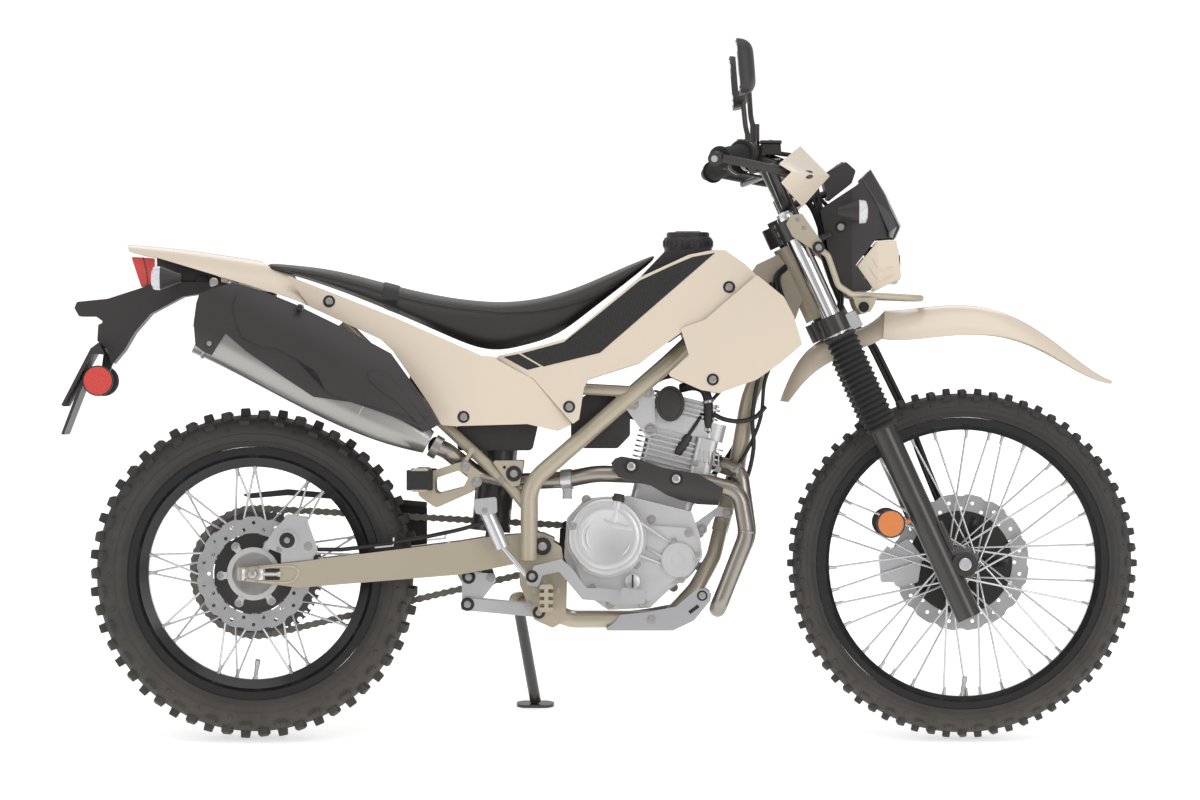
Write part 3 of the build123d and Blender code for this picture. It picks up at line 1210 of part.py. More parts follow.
with BuildPart() as headlamp_bezel:
    add(side_plate([(1200, 959), (1236, 960), (1246, 888), (1194, 862), (1160, 910)], 80, -80, 3))
    with BuildSketch(Plane.XY.offset(850)) as plan:
        with BuildLine():
            Polyline((1150, 84), (1200, 80), (1250, 52), (1250, -52), (1200, -80), (1150, -84), close=True)
        make_face()
    extrude(amount=130, mode=Mode.INTERSECT)
    with BuildSketch(Plane(origin=(1150, 0, 912), x_dir=(0, 1, 0), z_dir=(1, 0, 0))):
        RectangleRounded(92, 74, 26)
    extrude(amount=110, mode=Mode.SUBTRACT)
keep(headlamp_bezel, "headlamp_bezel")

with BuildPart() as headlamp:
    with BuildSketch(Plane(origin=(1176, 0, 912), x_dir=(0, 1, 0), z_dir=(1, 0, 0))):
        RectangleRounded(92 - 2 * FIT, 74 - 2 * FIT, 26 - FIT)
    extrude(amount=66)
    fillet(headlamp.faces().sort_by(Axis.X)[-1].edges(), 8)
keep(headlamp, "headlamp")

with BuildPart() as front_signals:
    for across in (1, -1):
        add(signal(1177, 1013, across * (SIGNAL_Y + 20), 1))
        add(rod((1136, across * (SIGNAL_Y + FIT), 1013), (1136, across * (SIGNAL_Y + 20), 1013), 7))
keep(front_signals, "front_signals")

GUARD_Y = 125.0
with BuildPart() as guard_bar:
    add(tube([(1079, GUARD_Y, 948), (1102, GUARD_Y, 930), (1122, GUARD_Y - 6, 872), (1148, 112, 855),
              (1284, 60, 849), (1284, -60, 849), (1148, -112, 855), (1122, 6 - GUARD_Y, 872),
              (1102, -GUARD_Y, 930), (1079, -GUARD_Y, 948)], 6, [20, 20, 20, 40, 40, 20, 20, 20]))
    plate = side_plate([(1022, 990), (1030, 1006), (1052, 1010), (1062, 996), (1096, 948), (1084, 934),
                        (1068, 944), (1034, 966)], GUARD_Y + 2.5, GUARD_Y - 2.7, 5)
    for piece in both_sides(plate):
        add(piece)
keep(guard_bar, "guard_bar")

HOSE_R = 4.5
with BuildPart() as brake_hoses:
    for step in (0, 2 * HOSE_R + FIT):
        add(tube([(1151.9 + step, FORK_HALF - 4, 803.7), (1192 + step, FORK_HALF, 758),
                  (1250 + step, FORK_HALF + 2, 640), (1296 + step, FORK_HALF, 520),
                  (1322 + step, FORK_HALF, 456)], HOSE_R, [60, 160, 160]))
keep(brake_hoses, "brake_hoses")

# ---- parked on the side stand ---------------------------------------------------------------------
LEANED = Location((0, 0, LIFT), (-LEAN, 0, 0))
leaned = {name: piece.moved(LEANED) for name, piece in PIECES.items()}
boxes = [piece.bounding_box() for piece in leaned.values()]
ORIGIN_X = (min(box.min.X for box in boxes) + max(box.max.X for box in boxes)) / 2
ORIGIN_Y = (min(box.min.Y for box in boxes) + max(box.max.Y for box in boxes)) / 2
ORIGIN_Z = min(box.min.Z for box in boxes)
print("origin moved to", round(ORIGIN_X, 3), round(ORIGIN_Y, 3), round(ORIGIN_Z, 3))

os.makedirs("parts", exist_ok=True)
for name, piece in leaned.items():
    parked = piece.moved(Location((-ORIGIN_X, -ORIGIN_Y, -ORIGIN_Z)))
    parked.label = name
    export_step(parked, f"parts/{name}.step")
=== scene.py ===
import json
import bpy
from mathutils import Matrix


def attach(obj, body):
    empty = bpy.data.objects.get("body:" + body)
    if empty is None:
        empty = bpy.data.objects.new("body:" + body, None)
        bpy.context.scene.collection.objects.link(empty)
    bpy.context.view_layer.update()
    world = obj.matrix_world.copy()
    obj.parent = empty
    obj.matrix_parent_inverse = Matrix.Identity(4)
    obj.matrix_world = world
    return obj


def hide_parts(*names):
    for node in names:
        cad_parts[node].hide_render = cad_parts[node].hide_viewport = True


bl_info = {
    "name": "Dual sport motorcycle",
    "version": (1, 0, 0),
    "blender": (4, 5, 0),
    "location": "3D View > Sidebar > Motorcycle",
    "description": "Dresses the packed motorcycle: tread, seat, finishes, fasteners, cables and stage",
    "category": "Add Mesh",
}

from math import acos, atan2, cos, hypot, pi, radians, sin, sqrt

import bmesh
import bpy
from mathutils import Matrix, Vector
from mathutils.bvhtree import BVHTree

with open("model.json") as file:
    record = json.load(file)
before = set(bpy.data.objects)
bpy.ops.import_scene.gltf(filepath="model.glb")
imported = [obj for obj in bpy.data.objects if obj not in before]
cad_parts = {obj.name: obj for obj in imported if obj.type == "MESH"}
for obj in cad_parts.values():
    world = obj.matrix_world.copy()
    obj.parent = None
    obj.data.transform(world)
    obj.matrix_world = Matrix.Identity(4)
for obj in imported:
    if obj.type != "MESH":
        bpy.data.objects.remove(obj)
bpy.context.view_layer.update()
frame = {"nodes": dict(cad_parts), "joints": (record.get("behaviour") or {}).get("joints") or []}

# ---- where the machine stands
# Sizes below are millimetres on the upright machine: +X forward from the rear axle, +Y to the
# rider's left, +Z up from the floor. PARKED takes them to the leaned machine, in metres.
LEAN = 10.0
REAR_TYRE_R = 319.0
FRONT_TYRE_R = 338.5
WHEELBASE = 1365.0
FRONT_AXLE = Vector((WHEELBASE, 0, FRONT_TYRE_R))
REAR_AXLE = Vector((0, 0, REAR_TYRE_R))
RAKE = radians(24.6)
STEER_GROUND_X = 1461.0
FORK_OFFSET = 19.0
FORK_HALF = 95.0
# the rider's directions on the upright machine
AHEAD, LEFT, UP = Vector((1, 0, 0)), Vector((0, 1, 0)), Vector((0, 0, 1))
RIGHT = -LEFT
LEVEL = (AHEAD, LEFT, UP)


def parked_matrix():
    """Upright millimetres to the leaned machine's metres, from the rear wheel's joint."""
    spin = next(joint for joint in frame["joints"] if joint["name"] == "rear_wheel_spin")
    lean = Matrix.Rotation(radians(-LEAN), 4, "X") @ Matrix.Scale(0.001, 4)
    return Matrix.Translation(Vector(spin["pos_m"]) - lean @ REAR_AXLE) @ lean


PARKED = parked_matrix()
UPRIGHT = PARKED.inverted()


def fork_point(along, across, height):
    """A point on the fork: ahead of the steering axis, across the machine, and up the axis."""
    return Vector((
        STEER_GROUND_X + along * cos(RAKE) - height * sin(RAKE),
        across,
        along * sin(RAKE) + height * cos(RAKE),
    ))


# ---- mesh helpers
def make_piece(name, mesh, body, finish, smooth=40.0):
    """Turn an upright mesh into a parked piece that rides on a body."""
    bmesh.ops.recalc_face_normals(mesh, faces=mesh.faces)
    data = bpy.data.meshes.new(name)
    mesh.to_mesh(data)
    mesh.free()
    data.transform(PARKED)
    data.materials.append(FINISHES[finish])
    piece = bpy.data.objects.new(name, data)
    bpy.context.scene.collection.objects.link(piece)
    if smooth:
        data.shade_smooth()
        data.set_sharp_from_angle(angle=radians(smooth))
    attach(piece, body)
    return piece


def around(angle):
    """Unit vectors outward and onward at an angle about an axle."""
    return Vector((cos(angle), 0, sin(angle))), Vector((-sin(angle), 0, cos(angle)))


def axes_about(direction):
    """Two unit vectors square to a direction."""
    along = Vector(direction).normalized()
    guess = UP if abs(along.z) < 0.9 else AHEAD
    first = along.cross(guess).normalized()
    return first, along.cross(first).normalized()


def add_turned(mesh, centre, direction, profile, count=20):
    """Revolve (distance along, radius) points about a direction through a centre."""
    along = Vector(direction).normalized()
    first, second = axes_about(along)
    rings = []
    for reach, radius in profile:
        middle = Vector(centre) + along * reach
        if radius < 1e-4:
            rings.append([mesh.verts.new(middle)])
            continue
        rings.append([
            mesh.verts.new(middle + (first * cos(2 * pi * k / count) + second * sin(2 * pi * k / count)) * radius)
            for k in range(count)
        ])
    for low, high in zip(rings, rings[1:]):
        for k in range(count):
            corners = [low[k % len(low)], low[(k + 1) % len(low)], high[(k + 1) % len(high)], high[k % len(high)]]
            corners = list(dict.fromkeys(corners))
            if len(corners) > 2:
                mesh.faces.new(corners)
    for ring in (rings[0], rings[-1]):
        if len(ring) > 2:
            mesh.faces.new(ring)


def add_bolt(mesh, centre, direction, radius, height=None, washer=True):
    """A flanged hexagon bolt head standing on a surface."""
    height = height or radius * 0.75
    if washer:
        add_turned(
            mesh, centre, direction, [(0, radius * 1.45), (height * 0.25, radius * 1.4), (height * 0.3, 0)], 16,
        )
    add_turned(
        mesh, centre, direction,
        [(0, radius), (height * 0.85, radius), (height, radius * 0.86), (height, 0)], 6,
    )


def add_button(mesh, centre, direction, radius, height=None):
    """A round cap screw with a hexagon socket."""
    height = height or radius * 0.6
    add_turned(
        mesh, centre, direction,
        [(0, radius), (height * 0.6, radius), (height, radius * 0.8), (height, radius * 0.45)], 16,
    )
    add_turned(mesh, centre, direction, [(height * 0.3, radius * 0.45), (height * 0.3, 0)], 6)


def add_tube(mesh, points, radius, count=10, closed=False):
    """A round tube along a list of points."""
    points = [Vector(point) for point in points]
    total = len(points)
    side = None
    rings = []
    for index, point in enumerate(points):
        if closed:
            ahead = points[(index + 1) % total] - points[index - 1]
        else:
            ahead = points[min(index + 1, total - 1)] - points[max(index - 1, 0)]
        ahead.normalize()
        if side is None:
            side = axes_about(ahead)[0]
        side = (side - ahead * side.dot(ahead)).normalized()
        other = ahead.cross(side)
        width = radius[index] if isinstance(radius, (list, tuple)) else radius
        rings.append([
            mesh.verts.new(point + (side * cos(2 * pi * k / count) + other * sin(2 * pi * k / count)) * width)
            for k in range(count)
        ])
    pairs = list(zip(rings, rings[1:])) + ([(rings[-1], rings[0])] if closed else [])
    for low, high in pairs:
        for k in range(count):
            mesh.faces.new([low[k], low[(k + 1) % count], high[(k + 1) % count], high[k]])
    if not closed:
        mesh.faces.new(rings[0][::-1])
        mesh.faces.new(rings[-1])


def smooth_path(points, steps=6):
    """Points of a smooth curve through the given ones."""
    points = [Vector(point) for point in points]
    ends = [points[0] * 2 - points[1], *points, points[-1] * 2 - points[-2]]
    path = []
    for a, b, c, d in zip(ends, ends[1:], ends[2:], ends[3:]):
        for step in range(steps):
            t = step / steps
            bend, twist = 2 * a - 5 * b + 4 * c - d, 3 * b - 3 * c + d - a
            path.append(0.5 * (2 * b + (c - a) * t + bend * t * t + twist * t ** 3))
    path.append(points[-1])
    return path


def add_prism(mesh, outline, left, right, bevel=0.0):
    """A side-view outline given thickness across the machine."""
    made = mesh.faces.new([mesh.verts.new((x, left, z)) for x, z in outline])
    grown = bmesh.ops.extrude_face_region(mesh, geom=[made])
    moved = [item for item in grown["geom"] if isinstance(item, bmesh.types.BMVert)]
    bmesh.ops.translate(mesh, verts=moved, vec=(0, right - left, 0))
    if bevel:
        caps = [made] + [item for item in grown["geom"] if isinstance(item, bmesh.types.BMFace)]
        edges = list(dict.fromkeys(edge for face in caps for edge in face.edges))
        bmesh.ops.bevel(mesh, geom=edges, offset=bevel, segments=2, affect="EDGES", profile=0.6)


def add_block(mesh, centre, axes, half, taper=1.0, bevel=0.0):
    """A block on three axes, its top (third axis) tapered."""
    x_axis, y_axis, z_axis = axes
    corners = []
    for up in (-1, 1):
        share = taper if up > 0 else 1.0
        for a, b in ((-1, -1), (1, -1), (1, 1), (-1, 1)):
            corners.append(mesh.verts.new(
                centre + x_axis * (a * half[0] * share) + y_axis * (b * half[1] * share) + z_axis * (up * half[2])
            ))
    faces = [
        mesh.faces.new([corners[index] for index in loop])
        for loop in ((3, 2, 1, 0), (4, 5, 6, 7), (0, 1, 5, 4), (1, 2, 6, 5), (2, 3, 7, 6), (3, 0, 4, 7))
    ]
    if bevel:
        edges = list(dict.fromkeys(edge for face in faces[1:] for edge in face.edges))
        edges = [edge for edge in edges if edge not in faces[0].edges[:]]
        bmesh.ops.bevel(mesh, geom=edges, offset=bevel, segments=1, affect="EDGES")


SURFACES = {}


def keep_surface(name, data):
    """Set a parked mesh's faces aside, for finding places on it."""
    SURFACES[name] = BVHTree.FromPolygons(
        [vertex.co for vertex in data.vertices], [face.vertices for face in data.polygons]
    )


def meets(name, start, heading):
    """Where an upright line first meets a part, and the way its surface faces there."""
    if name not in SURFACES:
        keep_surface(name, frame["nodes"][name].data)
    heading = Vector(heading).normalized()
    place, normal, _, _ = SURFACES[name].ray_cast(PARKED @ Vector(start), (PARKED.to_3x3() @ heading).normalized())
    if place is None:
        return None, None
    normal = (UPRIGHT.to_3x3() @ normal).normalized()
    return UPRIGHT @ place, -normal if normal.dot(heading) > 0 else normal


def found(name, start, heading):
    """Where an upright line meets a part that it has to meet, and the way its surface faces."""
    place, normal = meets(name, start, heading)
    if place is None:
        raise RuntimeError(f"{name} isn't met from {tuple(start)}")
    return place, normal


def on_side(name, x, z, side):
    """A place on a part's flank: side is -1 on the right and 1 on the left."""
    return found(name, (x, side * 600, z), (0, -side, 0))


def inside(outline, x, z):
    """Whether a point lies within an outline."""
    crossings = 0
    for (ax, az), (bx, bz) in zip(outline, outline[1:] + outline[:1]):
        if (az > z) != (bz > z) and x < ax + (z - az) * (bx - ax) / (bz - az):
            crossings += 1
    return crossings % 2 == 1


def add_skin(mesh, outline, side, depth_at, thick, cell=9.0):
    """A thin shell within a side-view outline; depth_at gives its distance across the machine."""
    skin = bmesh.new()
    skin.faces.new([skin.verts.new((x, 0, z)) for x, z in outline])
    bmesh.ops.triangulate(skin, faces=skin.faces[:])
    for axis, facing in enumerate((AHEAD, UP)):
        values = [point[axis] for point in outline]
        cuts = int((max(values) - min(values)) / cell)
        for step in range(1, cuts + 1):
            place = min(values) + (max(values) - min(values)) * step / (cuts + 1)
            bmesh.ops.bisect_plane(
                skin, geom=skin.verts[:] + skin.edges[:] + skin.faces[:],
                plane_co=facing * place, plane_no=facing,
            )
    last = None
    missed = []
    for vertex in skin.verts:
        across = depth_at(vertex.co.x, vertex.co.z)
        if across is None:
            missed.append(vertex)
            continue
        vertex.co.y = last = across
    for vertex in missed:
        known = [edge.other_vert(vertex).co.y for edge in vertex.link_edges if edge.other_vert(vertex) not in missed]
        vertex.co.y = sum(known) / len(known) if known else last
    folded = {}
    for loop in [loop for face in skin.faces for loop in face.loops if loop.edge.is_boundary]:
        ends = (loop.vert, loop.link_loop_next.vert)
        for end in ends:
            if end not in folded:
                folded[end] = skin.verts.new(end.co - Vector((0, side * thick, 0)))
        skin.faces.new([ends[1], ends[0], folded[ends[0]], folded[ends[1]]])
    data = bpy.data.meshes.new("skin")
    skin.to_mesh(data)
    skin.free()
    mesh.from_mesh(data)
    bpy.data.meshes.remove(data)


def draped(name, side, lift):
    """The distance across the machine of a part's flank, plus a lift."""
    def depth_at(x, z):
        place, _ = meets(name, (x, side * 600, z), (0, -side, 0))
        return None if place is None else place.y + side * lift
    return depth_at


def add_line(mesh, name, points, side, radius, lift=0.0, steps=5):
    """A thin raised bead along a smooth line on a part's flank."""
    run = smooth_path([(x, 0, z) for x, z in points], steps)
    add_tube(
        mesh, [on_side(name, point.x, point.z, side)[0] + Vector((0, side * lift, 0)) for point in run], radius, 6,
    )


def add_ring(mesh, centre, direction, inner, outer, width, count=28):
    """A flat band about a direction."""
    half = width / 2
    edge = min(1.0, width / 4)
    add_turned(mesh, centre, direction, [
        (-half, inner), (-half, outer - edge), (edge - half, outer), (half - edge, outer), (half, outer - edge),
        (half, inner),
    ], count)


# ---- shader node groups
def new_group(name, inputs, outputs):
    """An empty shader group with named sockets."""
    group = bpy.data.node_groups.new(name, "ShaderNodeTree")
    for label, kind, default in inputs:
        socket = group.interface.new_socket(label, in_out="INPUT", socket_type=kind)
        if default is not None:
            socket.default_value = default
    for label, kind in outputs:
        group.interface.new_socket(label, in_out="OUTPUT", socket_type=kind)
    return group, group.nodes.new("NodeGroupInput"), group.nodes.new("NodeGroupOutput")


def math_node(tree, operation, first, second=None, clamp=False):
    """A Math node fed by sockets or numbers."""
    node = tree.nodes.new("ShaderNodeMath")
    node.operation = operation
    node.use_clamp = clamp
    for socket, value in zip(node.inputs, (first, second)):
        if value is None:
            continue
        if isinstance(value, (int, float)):
            socket.default_value = value
        else:
            tree.links.new(value, socket)
    return node.outputs[0]


def noise_node(tree, place, scale, detail=3.0, roughness=0.5):
    """A Noise texture's value at a place; the scale is a socket or a number."""
    node = tree.nodes.new("ShaderNodeTexNoise")
    node.inputs["Detail"].default_value = detail
    node.inputs["Roughness"].default_value = roughness
    tree.links.new(place, node.inputs["Vector"])
    if isinstance(scale, (int, float)):
        node.inputs["Scale"].default_value = scale
    else:
        tree.links.new(scale, node.inputs["Scale"])
    return node.outputs["Fac"]


def mix_colour(tree, factor, first, second):
    """A Mix node of two colours."""
    node = tree.nodes.new("ShaderNodeMix")
    node.data_type = "RGBA"
    tree.links.new(factor, node.inputs["Factor"])
    for value, socket in ((first, node.inputs["A"]), (second, node.inputs["B"])):
        if isinstance(value, tuple):
            socket.default_value = value
        else:
            tree.links.new(value, socket)
    return node.outputs["Result"]


def build_drift_group():
    """Slow changes of tone and gloss over a surface, with road dust low down."""
    group, source, target = new_group(
        "Tone and gloss drift",
        [
            ("Place", "NodeSocketVector", None), ("Base", "NodeSocketColor", (0.5, 0.5, 0.5, 1)),
            ("Drift", "NodeSocketFloat", 0.1), ("Scale", "NodeSocketFloat", 12.0),
            ("Gloss", "NodeSocketFloat", 0.4), ("Spread", "NodeSocketFloat", 0.1), ("Dust", "NodeSocketFloat", 0.0),
        ],
        [("Colour", "NodeSocketColor"), ("Roughness", "NodeSocketFloat")],
    )
    place = source.outputs["Place"]
    wide = noise_node(group, place, source.outputs["Scale"], 4.0)
    fine = noise_node(group, place, 260.0, 2.0)
    both = math_node(group, "ADD", math_node(group, "MULTIPLY", wide, 0.7), math_node(group, "MULTIPLY", fine, 0.3))
    centred = math_node(group, "SUBTRACT", both, 0.5)
    gain = math_node(group, "ADD", math_node(group, "MULTIPLY", centred, source.outputs["Drift"]), 1.0)
    scaled = group.nodes.new("ShaderNodeVectorMath")
    scaled.operation = "SCALE"
    group.links.new(source.outputs["Base"], scaled.inputs[0])
    group.links.new(gain, scaled.inputs["Scale"])
    split = group.nodes.new("ShaderNodeSeparateXYZ")
    group.links.new(place, split.inputs[0])
    low = math_node(group, "SUBTRACT", 0.75, split.outputs["Z"], clamp=True)
    dusty = math_node(
        group, "MULTIPLY", math_node(group, "MULTIPLY", low, noise_node(group, place, 18.0, 5.0, 0.65)),
        source.outputs["Dust"], clamp=True,
    )
    group.links.new(mix_colour(group, dusty, scaled.outputs[0], (0.36, 0.31, 0.25, 1)), target.inputs["Colour"])
    rough = math_node(
        group, "ADD", source.outputs["Gloss"], math_node(group, "MULTIPLY", centred, source.outputs["Spread"]),
    )
    group.links.new(
        math_node(group, "ADD", rough, math_node(group, "MULTIPLY", dusty, 0.3), clamp=True),
        target.inputs["Roughness"],
    )
    return group


def build_grain_group():
    """Fine leathery or sand-cast grain, as a height."""
    group, source, target = new_group(
        "Fine grain",
        [
            ("Place", "NodeSocketVector", None), ("Scale", "NodeSocketFloat", 900.0),
            ("Pebbles", "NodeSocketFloat", 0.5),
        ],
        [("Height", "NodeSocketFloat")],
    )
    cells = group.nodes.new("ShaderNodeTexVoronoi")
    cells.feature = "SMOOTH_F1"
    group.links.new(source.outputs["Place"], cells.inputs["Vector"])
    group.links.new(source.outputs["Scale"], cells.inputs["Scale"])
    fine = noise_node(group, source.outputs["Place"], source.outputs["Scale"], 3.0, 0.6)
    share = math_node(group, "MULTIPLY", cells.outputs["Distance"], source.outputs["Pebbles"])
    group.links.new(math_node(group, "ADD", share, fine), target.inputs["Height"])
    return group


def build_brushed_group():
    """Lines left by grinding or drawing, stretched along one axis, as a height."""
    group, source, target = new_group(
        "Drawn lines",
        [("Place", "NodeSocketVector", None), ("Stretch", "NodeSocketVector", (20.0, 900.0, 900.0))],
        [("Height", "NodeSocketFloat")],
    )
    scaled = group.nodes.new("ShaderNodeVectorMath")
    scaled.operation = "MULTIPLY"
    group.links.new(source.outputs["Place"], scaled.inputs[0])
    group.links.new(source.outputs["Stretch"], scaled.inputs[1])
    group.links.new(noise_node(group, scaled.outputs[0], 1.0, 2.0, 0.7), target.inputs["Height"])
    return group


GROUPS = {}


def place_group(tree, name, **values):
    """Put a group in a material and set its inputs."""
    node = tree.nodes.new("ShaderNodeGroup")
    node.node_tree = GROUPS[name]
    for label, value in values.items():
        node.inputs[label].default_value = value
    return node


def new_finish(name, base, **values):
    """A material whose tone and gloss drift: it, its node tree, its shader and the place on the surface."""
    finish = bpy.data.materials.new(name)
    finish.use_nodes = True
    tree = finish.node_tree
    shader = tree.nodes["Principled BSDF"]
    place = tree.nodes.new("ShaderNodeTexCoord").outputs["Object"]
    toned = place_group(tree, "drift", Base=(*base, 1), **values)
    tree.links.new(place, toned.inputs["Place"])
    tree.links.new(toned.outputs["Colour"], shader.inputs["Base Color"])
    tree.links.new(toned.outputs["Roughness"], shader.inputs["Roughness"])
    return finish, tree, shader, place


def add_relief(tree, shader, height, distance):
    """Bend the surface's light by a height, in metres at its most."""
    bump = tree.nodes.new("ShaderNodeBump")
    bump.inputs["Strength"].default_value = 1.0
    bump.inputs["Distance"].default_value = distance
    tree.links.new(height, bump.inputs["Height"])
    tree.links.new(bump.outputs["Normal"], shader.inputs["Normal"])


def make_finish(name, base, gloss, metal=0.0, coat=0.0, drift=0.12, scale=12.0, spread=0.12, dust=0.0,
                grain=0.0, lines=0.0, grain_scale=900.0, pebbles=0.5, sheen=0.0):
    """A material with drifting tone and gloss, and grain or drawn lines of a depth in metres."""
    finish, tree, shader, place = new_finish(
        name, base, Drift=drift, Scale=scale, Gloss=gloss, Spread=spread, Dust=dust,
    )
    shader.inputs["Metallic"].default_value = metal
    shader.inputs["Coat Weight"].default_value = coat
    shader.inputs["Coat Roughness"].default_value = 0.12
    shader.inputs["Sheen Weight"].default_value = sheen
    if grain:
        relief = place_group(tree, "grain", Scale=grain_scale, Pebbles=pebbles)
    elif lines:
        relief = place_group(tree, "lines")
    else:
        return finish
    tree.links.new(place, relief.inputs["Place"])
    add_relief(tree, shader, relief.outputs["Height"], grain or lines)
    return finish


def make_lens(name, tint, gloss, ribs):
    """A coloured lens with moulded ribs."""
    finish, tree, shader, place = new_finish(name, tint, Drift=0.08, Scale=40.0, Gloss=gloss, Spread=0.04)
    shader.inputs["Coat Weight"].default_value = 1.0
    shader.inputs["Coat Roughness"].default_value = 0.03
    wave = tree.nodes.new("ShaderNodeTexWave")
    wave.bands_direction = "DIAGONAL"
    wave.inputs["Scale"].default_value = ribs
    tree.links.new(place, wave.inputs["Vector"])
    add_relief(tree, shader, wave.outputs["Fac"], 0.0006)
    return finish


FINISHES = {}

# columns: name, base colour, gloss, then what differs from plain
FINISH_TABLE = [
    (
        "sand plastic", (0.70, 0.60, 0.485), 0.30,
        dict(coat=0.35, drift=0.05, scale=3.0, grain=0.00003, grain_scale=1500.0),
    ),
    (
        "sand frame paint", (0.44, 0.385, 0.29), 0.34,
        dict(coat=0.4, metal=0.2, drift=0.12, dust=0.1, grain=0.00006, grain_scale=500.0),
    ),
    ("champagne alloy", (0.45, 0.395, 0.30), 0.36, dict(metal=0.4, coat=0.2, drift=0.1, dust=0.1, lines=0.00004)),
    ("black plastic", (0.027, 0.023, 0.023), 0.5, dict(drift=0.3, grain=0.00012, grain_scale=1100.0, dust=0.08)),
    ("black tank", (0.024, 0.021, 0.020), 0.42, dict(drift=0.2, grain=0.00006)),
    ("black paint", (0.024, 0.022, 0.021), 0.32, dict(coat=0.3, drift=0.3, grain=0.00006, dust=0.06)),
    (
        "seat vinyl", (0.021, 0.018, 0.017), 0.5,
        dict(drift=0.35, sheen=0.05, grain=0.0003, grain_scale=650.0, pebbles=1.2),
    ),
    (
        "tyre rubber", (0.028, 0.026, 0.025), 0.66,
        dict(drift=0.5, scale=30.0, spread=0.2, dust=0.25, grain=0.0002, grain_scale=420.0),
    ),
    ("checker print", (0.012, 0.0115, 0.011), 0.28, dict(coat=0.5, drift=0.2, scale=20.0, grain=0.00004)),
    ("smoke screen", (0.045, 0.043, 0.05), 0.07, dict(coat=1.0, drift=0.15, spread=0.05)),
    ("plate alloy", (0.44, 0.44, 0.46), 0.42, dict(metal=0.7, drift=0.16, dust=0.12, lines=0.00005)),
    ("ring white", (0.62, 0.61, 0.60), 0.3, dict(metal=0.6, drift=0.1)),
    ("red switch", (0.5, 0.03, 0.04), 0.35, dict(drift=0.1)),
    ("carrier black", (0.02, 0.019, 0.018), 0.34, dict(metal=0.3, coat=0.2, drift=0.25, grain=0.00008)),
    ("screen grey", (0.20, 0.22, 0.19), 0.15, dict(coat=1.0, drift=0.06, spread=0.03)),
    ("boot rubber", (0.012, 0.012, 0.012), 0.62, dict(drift=0.4, grain=0.0001)),
    (
        "engine silver", (0.61, 0.605, 0.61), 0.38,
        dict(metal=0.75, drift=0.16, scale=20.0, dust=0.08, grain=0.00022, grain_scale=520.0),
    ),
    ("bare alloy", (0.62, 0.62, 0.63), 0.3, dict(metal=0.9, drift=0.12, lines=0.00004)),
    ("rim black", (0.013, 0.013, 0.014), 0.3, dict(metal=0.3, coat=0.3, drift=0.3)),
    ("hub alloy", (0.16, 0.16, 0.165), 0.4, dict(metal=0.6, drift=0.2, grain=0.0002)),
    ("spoke steel", (0.62, 0.62, 0.63), 0.25, dict(metal=1.0, drift=0.12, lines=0.00003)),
    ("disc steel", (0.50, 0.50, 0.50), 0.3, dict(metal=1.0, drift=0.18, scale=40.0, lines=0.00005)),
    ("chain steel", (0.20, 0.185, 0.165), 0.4, dict(metal=0.85, drift=0.5, scale=60.0, dust=0.1)),
    ("sprocket steel", (0.12, 0.12, 0.125), 0.38, dict(metal=0.8, drift=0.25, lines=0.00004)),
    ("fork chrome", (0.72, 0.72, 0.73), 0.1, dict(metal=1.0, drift=0.04, spread=0.04)),
    ("header steel", (0.34, 0.31, 0.275), 0.3, dict(metal=0.95, drift=0.4, scale=9.0, lines=0.00004)),
    ("muffler steel", (0.36, 0.355, 0.34), 0.33, dict(metal=0.9, drift=0.14, lines=0.00004)),
    ("shock spring", (0.03, 0.03, 0.03), 0.3, dict(coat=0.4, drift=0.2)),
    ("hose rubber", (0.012, 0.012, 0.012), 0.5, dict(drift=0.3, grain=0.0001)),
    ("grip rubber", (0.014, 0.014, 0.014), 0.68, dict(drift=0.35, grain=0.0002)),
    ("bolt steel", (0.45, 0.44, 0.42), 0.3, dict(metal=0.95, drift=0.2, scale=80.0)),
    ("black bolt", (0.02, 0.02, 0.02), 0.35, dict(metal=0.5, drift=0.3, scale=80.0)),
    ("mirror face", (0.55, 0.57, 0.6), 0.03, dict(metal=1.0, drift=0.02, spread=0.02)),
    ("meter face", (0.006, 0.007, 0.008), 0.12, dict(coat=1.0, drift=0.1)),
]
# columns: name, tint, gloss, ribs to the metre
LENS_TABLE = [
    ("red lens", (0.62, 0.035, 0.025), 0.12, 120.0),
    ("amber lens", (0.68, 0.20, 0.035), 0.2, 120.0),
    ("clear lens", (0.62, 0.64, 0.66), 0.06, 90.0),
]

NODE_FINISH = {
    "sand plastic": "shrouds side_covers rear_fender front_fender guard_shells headlamp_bezel",
    "sand frame paint": "frame guard_bar footpegs",
    "champagne alloy": "swingarm",
    "black plastic": "chain_guard exhaust_guards air_box plate_carrier headlamp_cowl meter mirrors hand_guards",
    "plate alloy": "skid_plate",
    "black tank": "fuel_tank",
    "black paint": "side_stand fork_clamps fork_sliders handlebar bar_controls",
    "seat vinyl": "seat",
    "tyre rubber": "front_tyre rear_tyre",
    "boot rubber": "fork_boots",
    "engine silver": "engine_case cylinder",
    "bare alloy": "linkage rear_caliper front_caliper rear_brake_control shift_lever",
    "rim black": "rear_rim front_rim",
    "hub alloy": "front_hub rear_hub",
    "spoke steel": "front_spokes rear_spokes",
    "disc steel": "front_disc rear_disc",
    "chain steel": "chain",
    "sprocket steel": "rear_sprocket",
    "fork chrome": "fork_tubes",
    "header steel": "header_pipe",
    "muffler steel": "silencer",
    "shock spring": "shock",
    "hose rubber": "rear_brake_hose brake_hoses",
    "red lens": "tail_lamps",
    "amber lens": "front_reflectors",
    "black plastic ": "rear_signals front_signals",
    "clear lens": "headlamp",
}


